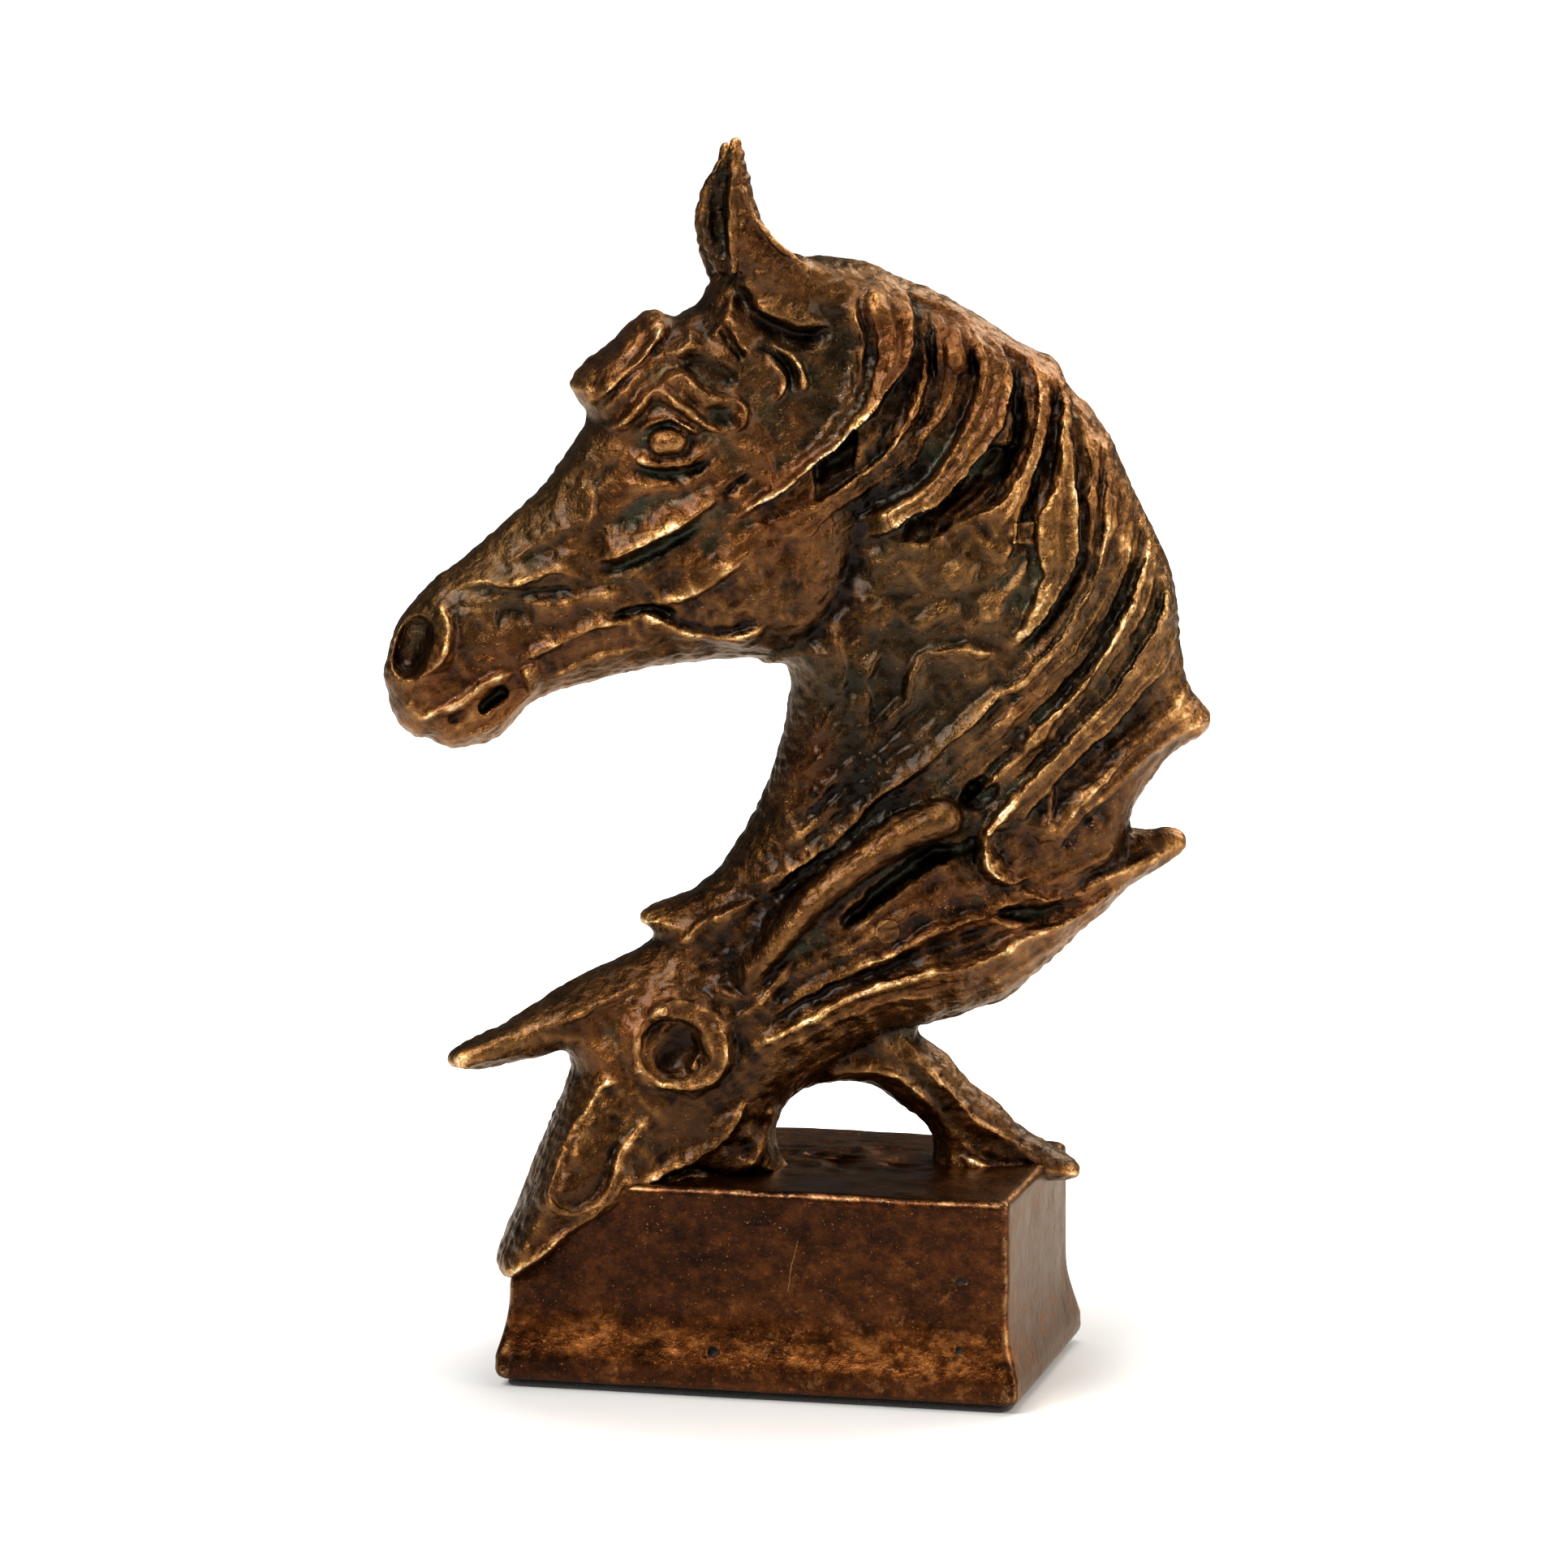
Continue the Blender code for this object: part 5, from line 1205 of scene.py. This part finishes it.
def bronze_material():
    """Dark brown patina, worn to copper and gold on what stands out, near black in the hollows, partly patina
    left there and partly painted shade, with olive and rust-red areas, and waxed. The wear it reads also
    carries painted light and shade from the tone knots and the ears' hollows."""
    n = Nodes("bronze_patina")
    wear, hollow = n.attribute("wear"), n.attribute("hollow")
    broad, blotch = n.noise(26, 3, 0.55), n.noise(95, 4, 0.62)
    grain, speck = n.noise(520, 3, 0.65), n.noise(1500, 2, 0.6)
    lightening = n.map(n.noise(55, 3, 0.6), 0.36, 0.66, 0.35, 1.35)
    broken = n.map(n.noise(640, 3, 0.7), 0.38, 0.62, 0.65, 1.35)
    tone = n.math("MULTIPLY", n.math("MULTIPLY", wear, lightening), broken)
    for value, amount in ((broad, 0.75), (blotch, 0.50), (grain, 0.36)):
        tone = n.plus(tone, n.math("SUBTRACT", value, 0.5), amount)
    tone = n.map(tone, -0.62, 0.85)
    colour = n.ramp(tone, (0.0, DEEP), (0.20, DARK), (0.42, BROWN),
                    (0.62, COPPER), (0.82, GOLD), (1.0, BRIGHT))
    olive = n.map(n.noise(15, 2, 0.5), 0.50, 0.62)
    colour = n.lay(colour, n.mix(0.6, colour, OLIVE), olive, 0.32)
    rust = n.both(n.map(n.noise(24, 2, 0.5), 0.52, 0.66), n.map(hollow, 0.3, -0.1))
    colour = n.lay(colour, RUST, rust, 0.40)
    # Near black in the hollows: partly patina left there, partly painted shade.
    hollow_patina_and_painted_shade = n.both(n.map(hollow, 0.04, 0.55), n.map(grain, 0.25, 0.5, 0.8, 1.0))
    colour = n.lay(colour, DEEP, hollow_patina_and_painted_shade, 0.86)
    green = n.both(n.map(n.noise(48, 3, 0.6), 0.55, 0.66), n.map(hollow, 0.0, 0.2))
    colour = n.lay(colour, VERDIGRIS, green, 0.24)
    flecks = n.both(n.map(speck, 0.66, 0.72), n.map(blotch, 0.46, 0.62))
    outside_hollow_darkening = n.math("SUBTRACT", 1.0, hollow_patina_and_painted_shade)
    colour = n.lay(colour, FLECK, n.math("MULTIPLY", flecks, outside_hollow_darkening), 0.65)
    pits = pinholes(n, 900, 0.24, 160, 0.53, 0.61)
    colour = n.lay(colour, DEEP, pits, 0.9)
    rough = n.map(n.plus(grain, blotch, 0.7), 0.55, 1.15, 0.19, 0.46)
    lumps = n.plus(n.noise(230, 4, 0.6), n.noise(800, 4, 0.7), 0.45)
    normal = n.bump(lumps, 0.0010, 0.75)
    normal = n.bump(n.math("SUBTRACT", 1.0, pits), 0.0004, 0.8, normal)
    n.set(Base_Color=colour, Metallic=0.97, Roughness=rough, Normal=normal, Coat_Weight=0.12,
          Coat_Roughness=0.22, Specular_Tint=EDGE_TINT)
    return n.material


def plain_metal(name, colour, roughness):
    """Turned steel: fine rings of tool marks and a few dull patches."""
    n = Nodes(name)
    marks = n.noise(2600, 2, 0.5, stretch=(1, 1, 6))
    patch = n.noise(300, 2)
    n.set(Base_Color=n.ramp(patch, (0.3, tuple(c * 0.75 for c in colour)), (0.7, colour)), Metallic=1.0,
          Roughness=n.map(patch, 0.3, 0.7, roughness, roughness + 0.2), Normal=n.bump(marks, 0.0001, 0.4))
    return n.material


def felt_material():
    n = Nodes("felt")
    fibres = n.noise(2200, 4, 0.7)
    colour = n.ramp(fibres, (0.35, (0.010, 0.009, 0.008)), (0.7, (0.045, 0.042, 0.040)))
    n.set(Base_Color=colour, Roughness=0.95, Normal=n.bump(fibres, 0.0004, 0.8), Sheen_Weight=0.4)
    return n.material


# ---------------------------------------------------------------- base
def base_profile(tall):
    """The base's side, foot to top, as (height, how far out past the foot): foot, cove, waist, round edge."""
    foot, waist, edge = 5.0, 20.0, tall - EDGE_ROUND
    quarter = math.pi / 2
    profile = [(0.0, -1.4), (0.5, -0.7), (1.2, -0.25), (2.2, 0.0)]
    profile += [(h, -0.1 * math.sin((h - 2) / 3 * quarter) ** 2) for h in np.arange(3.2, 6, 1.0)]
    profile += [(h, -FLARE * math.sin((h - foot) / (waist - foot) * quarter))
                for h in np.arange(foot + 1.2, waist, 1.15)]
    profile += [(h, -FLARE) for h in np.arange(waist + 0.5, tall - 2.2, 1.2)]
    profile += [(edge + EDGE_ROUND * math.sin(a), -FLARE - EDGE_ROUND + EDGE_ROUND * math.cos(a))
                for a in np.linspace(0, quarter, 6)]
    return profile


def build_base(bronze):
    """The base as rings: its hollow's ceiling and walls, its moulded sides, and its top plate."""
    (_, _, bottom), (half_x, half_y, top) = (np.array(c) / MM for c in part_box("base_casting"))
    ceiling, draft = top - PLATE, 0.5
    rings = [ring_points(half_x * 0.2, half_y * 0.2, 1, ceiling),
             ring_points(half_x - WALL + draft, half_y - WALL + draft, 3, ceiling),
             ring_points(half_x - WALL, half_y - WALL, 3, bottom)]
    rings += [ring_points(half_x + out, half_y + out, 2.2, bottom + height)
              for height, out in base_profile(top - bottom)]
    flat_x, flat_y = half_x - FLARE - EDGE_ROUND, half_y - FLARE - EDGE_ROUND
    top_rings = 44
    for k in range(1, top_rings):
        share = 1 - k / top_rings
        rings.append(ring_points(flat_x * share, flat_y * share, 0.1, top))
    count = len(rings[0])
    verts = np.vstack(rings)
    wear = base_wear(verts, half_x, half_y, top)
    obj = mesh_object("base_bronze_shell", verts * MM, ring_faces(len(rings), count), {"wear": wear})
    close_ends(obj, count)
    roughen_base(obj, bottom, top)
    obj.data.materials.append(bronze)
    pit_base(obj, half_y)
    adopt(obj, "bronze", "base_casting")


def ring_faces(rings, count):
    """The quads between rings of `count` points each, stacked in order."""
    start = np.arange(count)
    following = np.roll(start, -1)
    faces = []
    for k in range(rings - 1):
        low, high = k * count, (k + 1) * count
        faces.append(np.stack([low + start, low + following, high + following, high + start], 1))
    return np.vstack(faces)


def base_wear(verts, half_x, half_y, top):
    """1 on the base's edges, falling to 0 about 2 mm from them."""
    x, y, z = np.abs(verts).T
    to_foot_x, to_foot_y = half_x - x, half_y - y
    to_waist_x, to_waist_y = np.abs(to_foot_x - FLARE), np.abs(to_foot_y - FLARE)
    upright = np.hypot(np.minimum(to_foot_x, to_waist_x), np.minimum(to_foot_y, to_waist_y))
    rim = np.hypot(top - z, np.minimum(to_waist_x, to_waist_y))
    return 1 - smoothstep(0.5, 1.9, np.minimum(upright, rim))


def ring_points(half_x, half_y, radius, z):
    """Points round a rectangle with round corners, evenly spread, always in the same number."""
    per_x, per_y, arc = 76, 46, 5
    straight_x, straight_y = max(half_x - radius, 0.01), max(half_y - radius, 0.01)
    corners = ((1, 1), (-1, 1), (-1, -1), (1, -1))

    def on_corner(quarter, turns):
        """A point on this corner's arc, this many quarter turns round from +x."""
        across, up = corners[quarter % 4]
        angle = math.pi / 2 * turns
        return across * straight_x + radius * math.cos(angle), up * straight_y + radius * math.sin(angle)

    points = []
    for quarter in range(4):
        points += [on_corner(quarter, quarter + k / (arc - 1)) for k in range(arc)]
        (from_x, from_y), (to_x, to_y) = points[-1], on_corner(quarter + 1, quarter + 1)
        steps = per_x if quarter % 2 == 0 else per_y
        for k in range(1, steps):
            t = k / steps
            points.append((from_x + (to_x - from_x) * t, from_y + (to_y - from_y) * t))
    return np.array([(x, y, z) for x, y in points])


def close_ends(obj, count):
    """Caps the first and last rings of `count` points each, and turns every face outwards."""
    bm = bmesh.new()
    bm.from_mesh(obj.data)
    bm.verts.ensure_lookup_table()
    total = len(bm.verts)
    bm.faces.new([bm.verts[i] for i in range(count)][::-1])
    bm.faces.new([bm.verts[i] for i in range(total - count, total)])
    bmesh.ops.recalc_face_normals(bm, faces=bm.faces)
    for face in bm.faces:
        face.smooth = True
    bm.to_mesh(obj.data)
    bm.free()


def roughen_base(obj, bottom, top):
    """Hand-worked unevenness: long waves on the sides, a wavy rim, and ripples on top under the arch."""
    mesh = obj.data
    places, normals = np.empty((2, len(mesh.vertices) * 3))
    mesh.vertices.foreach_get("co", places)
    mesh.vertices.foreach_get("normal", normals)
    p, normals = places.reshape(-1, 3) / MM, normals.reshape(-1, 3)
    outer = (np.abs(p[:, 0]) > 51) | (np.abs(p[:, 1]) > 29) | (p[:, 2] > top - 3)  # all but the hollow
    sunk = 0.15  # keeps the waves' crests near the CAD's faces
    wave = 0.34 * noise3(p, 24, 11) + 0.18 * noise3(p, 9, 12) + 0.10 * noise3(p, 3.5, 13)
    ripple_zone = np.exp(-((p[:, 0] - 12) / 20) ** 2 - ((p[:, 1] - 5) / 15) ** 2) * (p[:, 2] > top - 0.5)
    ripple = (1.0 - 2.0 * np.abs(noise3(p * [0.7, 1.5, 1], 5.0, 14))) * 0.95 * ripple_zone
    rim = 0.35 * noise3(p * [1, 1, 0.3], 8.0, 15) * np.exp(-((top - p[:, 2]) / 2.5) ** 2)
    melted = np.stack(slump(*p.T), 1)
    fade = smoothstep(bottom - 0.1, bottom + 1.5, p[:, 2])
    p += normals * (outer * (wave * fade + ripple + rim) - sunk * outer)[:, None]
    p[:, :2] += melted
    mesh.vertices.foreach_set("co", (p * MM).ravel())
    mesh.update()


def pit_base(obj, half_y):
    """Gas pinholes in the front face, as (x, y, z, radius)."""
    front = FLARE - half_y
    pits = [(-9.5, front - 1.7, 10.7, 1.35), (46.4, front, 29.3, 0.95), (48.0, front, 29.6, 0.6),
            (46.6, front - 0.8, 14.0, 0.9), (-11.2, front - 1.9, 9.4, 0.5), (-34, front, 30, 0.5),
            (12, front, 24, 0.45), (5, front - 1.5, 12, 0.5)]
    bm = bmesh.new()
    for x, y, z, radius in pits:
        made = bmesh.ops.create_icosphere(bm, subdivisions=2, radius=radius * MM)
        bmesh.ops.translate(bm, verts=made["verts"], vec=(x * MM, y * MM, z * MM))
    mesh = mesh_from("pits", bm)
    oxide = Nodes("pit_oxide")
    oxide.set(Base_Color=oxide.ramp(oxide.noise(900, 2), (0.3, DEEP), (0.7, DARK)), Roughness=0.8)
    mesh.materials.append(oxide.material)
    cutter = new_object("pits", mesh)
    modifier = obj.modifiers.new("pits", "BOOLEAN")
    modifier.operation = "DIFFERENCE"
    modifier.solver = "EXACT"
    modifier.material_mode = "TRANSFER"
    modifier.object = cutter
    apply_modifiers(obj)
    bpy.data.objects.remove(cutter)


def apply_modifiers(obj):
    """Puts the evaluated mesh in the object's place for good."""
    graph = bpy.context.evaluated_depsgraph_get()
    fresh = bpy.data.meshes.new_from_object(obj.evaluated_get(graph))
    obj.modifiers.clear()
    old, obj.data = obj.data, fresh
    bpy.data.meshes.remove(old)


def base_material():
    """The base's patina: redder and more even than the figure's, mottled, worn light along its edges, with
    a soft highlight painted along its cove.
    """
    n = Nodes("bronze_base_patina")
    broad, blotch = n.noise(12, 3, 0.5, stretch=(1, 1, 1.5)), n.noise(120, 5, 0.74, stretch=(1, 1, 1.5))
    grain, speck = n.noise(420, 4, 0.72), n.noise(1500, 2, 0.6)
    edge = n.map(n.attribute("wear"), 0.2, 1.0)
    tone = n.plus(n.plus(n.math("MULTIPLY", blotch, 0.45), grain, 0.30), broad, 0.25)
    # Painted highlight: a band of lighter tone along the cove, where its upturned face catches the light.
    height = n.add("ShaderNodeSeparateXYZ")
    n.link(n.place, height.inputs[0])
    from_cove = n.math("ABSOLUTE", n.math("SUBTRACT", height.outputs[2], 0.0125))
    lightening = n.both(n.map(from_cove, 0.001, 0.008, 1.0, 0.0), n.map(blotch, 0.4, 0.6, 0.2, 1.0))
    tone = n.plus(tone, lightening, 0.085)
    colour = n.ramp(tone, (0.38, (0.0080, 0.0022, 0.0006)), (0.48, (0.033, 0.0090, 0.0018)),
                    (0.57, (0.078, 0.0220, 0.0042)), (0.68, (0.22, 0.076, 0.0180)))
    worn = n.both(edge, n.map(n.noise(190, 4, 0.75), 0.46, 0.60))
    scraped = n.both(n.map(n.noise(260, 4, 0.75), 0.57, 0.66), n.map(broad, 0.45, 0.6))
    flecks = n.map(speck, 0.67, 0.73)
    pits = pinholes(n, 700, 0.2, 140, 0.54, 0.62)
    for over, where, amount in (((0.40, 0.21, 0.085), worn, 0.65), ((0.22, 0.088, 0.026), scraped, 0.55),
                                ((0.42, 0.18, 0.055), flecks, 0.6), ((0.45, 0.22, 0.08), scratch(n), 0.3),
                                (DEEP, pits, 0.9)):
        colour = n.lay(colour, over, where, amount)
    rough = n.map(tone, 0.35, 0.65, 0.24, 0.44)
    normal = n.bump(n.math("ADD", grain, blotch), 0.0006, 0.45)
    normal = n.bump(n.math("SUBTRACT", 1.0, pits), 0.0003, 0.7, normal)
    n.set(Base_Color=colour, Metallic=0.96, Roughness=rough, Normal=normal, Coat_Weight=0.07,
          Coat_Roughness=0.2, Specular_Tint=EDGE_TINT)
    return n.material


def scratch(n):
    """1 along one wandering hairline in the base's front face, 0 elsewhere."""
    low, high, foot, lean = 0.025, 0.0367, 0.0072, 0.21
    parts = n.add("ShaderNodeSeparateXYZ")
    n.link(n.place, parts.inputs[0])
    x, y, z = parts.outputs
    line = n.plus(foot, n.math("SUBTRACT", z, low), lean)
    line = n.plus(line, n.math("SUBTRACT", n.noise(300, 2), 0.5), 0.002)
    near = n.map(n.math("ABSOLUTE", n.math("SUBTRACT", x, line)), 0.00006, 0.0002, 1.0, 0.0)
    in_front = -0.03
    for test, value, limit in (("GREATER_THAN", z, low), ("LESS_THAN", z, high), ("LESS_THAN", y, in_front)):
        near = n.math("MULTIPLY", near, n.math(test, value, limit))
    return near


# ---------------------------------------------------------------- felt
def build_felt(felt):
    """The pad: a cut sheet of felt with a soft, slightly ragged edge."""
    (_, _, low), (half_x, half_y, high) = (np.array(c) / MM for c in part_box("felt_pad"))
    profile = [(0.0, -0.6), (0.12, -0.25), (0.35, -0.1), (0.65, -0.1), (0.88, -0.25), (1.0, -0.6)]
    edge = [ring_points(half_x + out, half_y + out, 2.8, low + share * (high - low))
            for share, out in profile]
    across = np.linspace(0.97, 0.03, 20)
    under = [ring_points(half_x * k, half_y * k, 0.5, low) for k in across[::-1]]
    over = [ring_points(half_x * k, half_y * k, 0.5, high) for k in across]
    rings = under + edge + over
    verts = np.vstack(rings)
    shag = 0.09 * noise3(verts, 0.8, 51) + 0.10 * noise3(verts, 6.0, 52)
    beyond = np.maximum(np.abs(verts[:, 0]) - half_x + 2, np.abs(verts[:, 1]) - half_y + 2) > 0
    verts[:, :2] += np.sign(verts[:, :2]) * (np.minimum(shag, 0.1) * beyond)[:, None]
    count = len(rings[0])
    obj = mesh_object("felt_sheet", verts * MM, ring_faces(len(rings), count), {})
    close_ends(obj, count)
    finish(obj, felt, "felt", "felt_pad")


# ---------------------------------------------------------------- stage
def build_stage():
    """A pale floor that glows for the camera away from the statue, with a soft shadow painted round it."""
    bm = bmesh.new()
    bmesh.ops.create_grid(bm, x_segments=2, y_segments=2, size=6.0)
    floor = new_object("floor", mesh_from("floor", bm))
    n = Nodes("pale_floor")
    seen = n.add("ShaderNodeLightPath").outputs["Is Camera Ray"]
    reach = n.add("ShaderNodeVectorMath", operation="LENGTH")
    n.link(n.place, reach.inputs[0])
    # Painted shadow: near the statue the floor glows less and its colour is darker; further off it glows
    # evenly.
    glow = n.map(reach.outputs["Value"], 0.07, 0.22, 0.08, 0.95)
    shade = n.map(reach.outputs["Value"], 0.06, 0.17, 0.64, 0.86)
    n.set(Base_Color=shade, Roughness=0.3, Emission_Color=(1.0, 1.0, 1.0),
          Emission_Strength=n.math("MULTIPLY", seen, glow))
    floor.data.materials.append(n.material)


def area_light(name, place, size, power, colour):
    """A soft box that faces the statue's middle."""
    middle = Vector((0, 0, 0.15))
    data = bpy.data.lights.new(name, "AREA")
    data.shape = "RECTANGLE"
    data.size, data.size_y = size
    data.energy = power
    data.color = colour
    light = new_object(name, data)
    light.location = place
    light.rotation_euler = (middle - Vector(place)).to_track_quat("-Z", "Y").to_euler()


def build_light():
    """Soft boxes from the left front, above, the right and behind, in a white room that lights a little."""
    area_light("key", (-0.50, -0.92, 1.15), (0.75, 0.75), 31, (1.0, 0.965, 0.92))
    area_light("top", (0.1, 0.15, 1.3), (0.9, 0.7), 15, (1.0, 1.0, 1.0))
    area_light("right", (1.2, -0.15, 0.40), (0.5, 0.9), 10, (1.0, 0.90, 0.80))
    area_light("rim", (0.55, 1.0, 0.85), (0.9, 0.5), 16, (1.0, 0.90, 0.76))
    world = bpy.data.worlds.new("studio")
    bpy.context.scene.world = world
    world.use_nodes = True
    nodes, links = world.node_tree.nodes, world.node_tree.links
    seen = nodes.new("ShaderNodeLightPath").outputs["Is Camera Ray"]
    strength = nodes.new("ShaderNodeMapRange")
    links.new(seen, strength.inputs["Value"])
    strength.inputs["To Min"].default_value = 0.11
    strength.inputs["To Max"].default_value = 1.0
    links.new(strength.outputs[0], nodes["Background"].inputs["Strength"])
    nodes["Background"].inputs["Color"].default_value = (1, 1, 1, 1)


def build_camera():
    """A long lens from a little to the right of the front and a little above."""
    azimuth, elevation, distance = math.radians(13.1), math.radians(9.5), 1.83
    target = Vector((-0.00165, 0, 0.134))
    back = Vector((math.sin(azimuth) * math.cos(elevation), -math.cos(azimuth) * math.cos(elevation),
                   math.sin(elevation)))
    data = bpy.data.cameras.new("camera")
    data.sensor_width = 36
    data.lens = 186.3
    camera = new_object("camera", data)
    camera.location = target + back * distance
    camera.rotation_euler = (-back).to_track_quat("-Z", "Y").to_euler()
    bpy.context.scene.camera = camera
    bpy.context.scene.view_settings.view_transform = "Standard"


def finish_kept_nodes():
    """The hardware inside stays as the CAD made it, in steel."""
    steel = plain_metal("steel", (0.55, 0.54, 0.52), 0.3)
    for name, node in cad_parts.items():
        if name.startswith(("stud_", "washer_", "nut_")) or "dowel" in name:
            for slot in node.material_slots:
                slot.material = steel


def main():
    build_castings(bronze_material())
    build_base(base_material())
    build_felt(felt_material())
    finish_kept_nodes()
    build_stage()
    build_light()
    build_camera()


main()
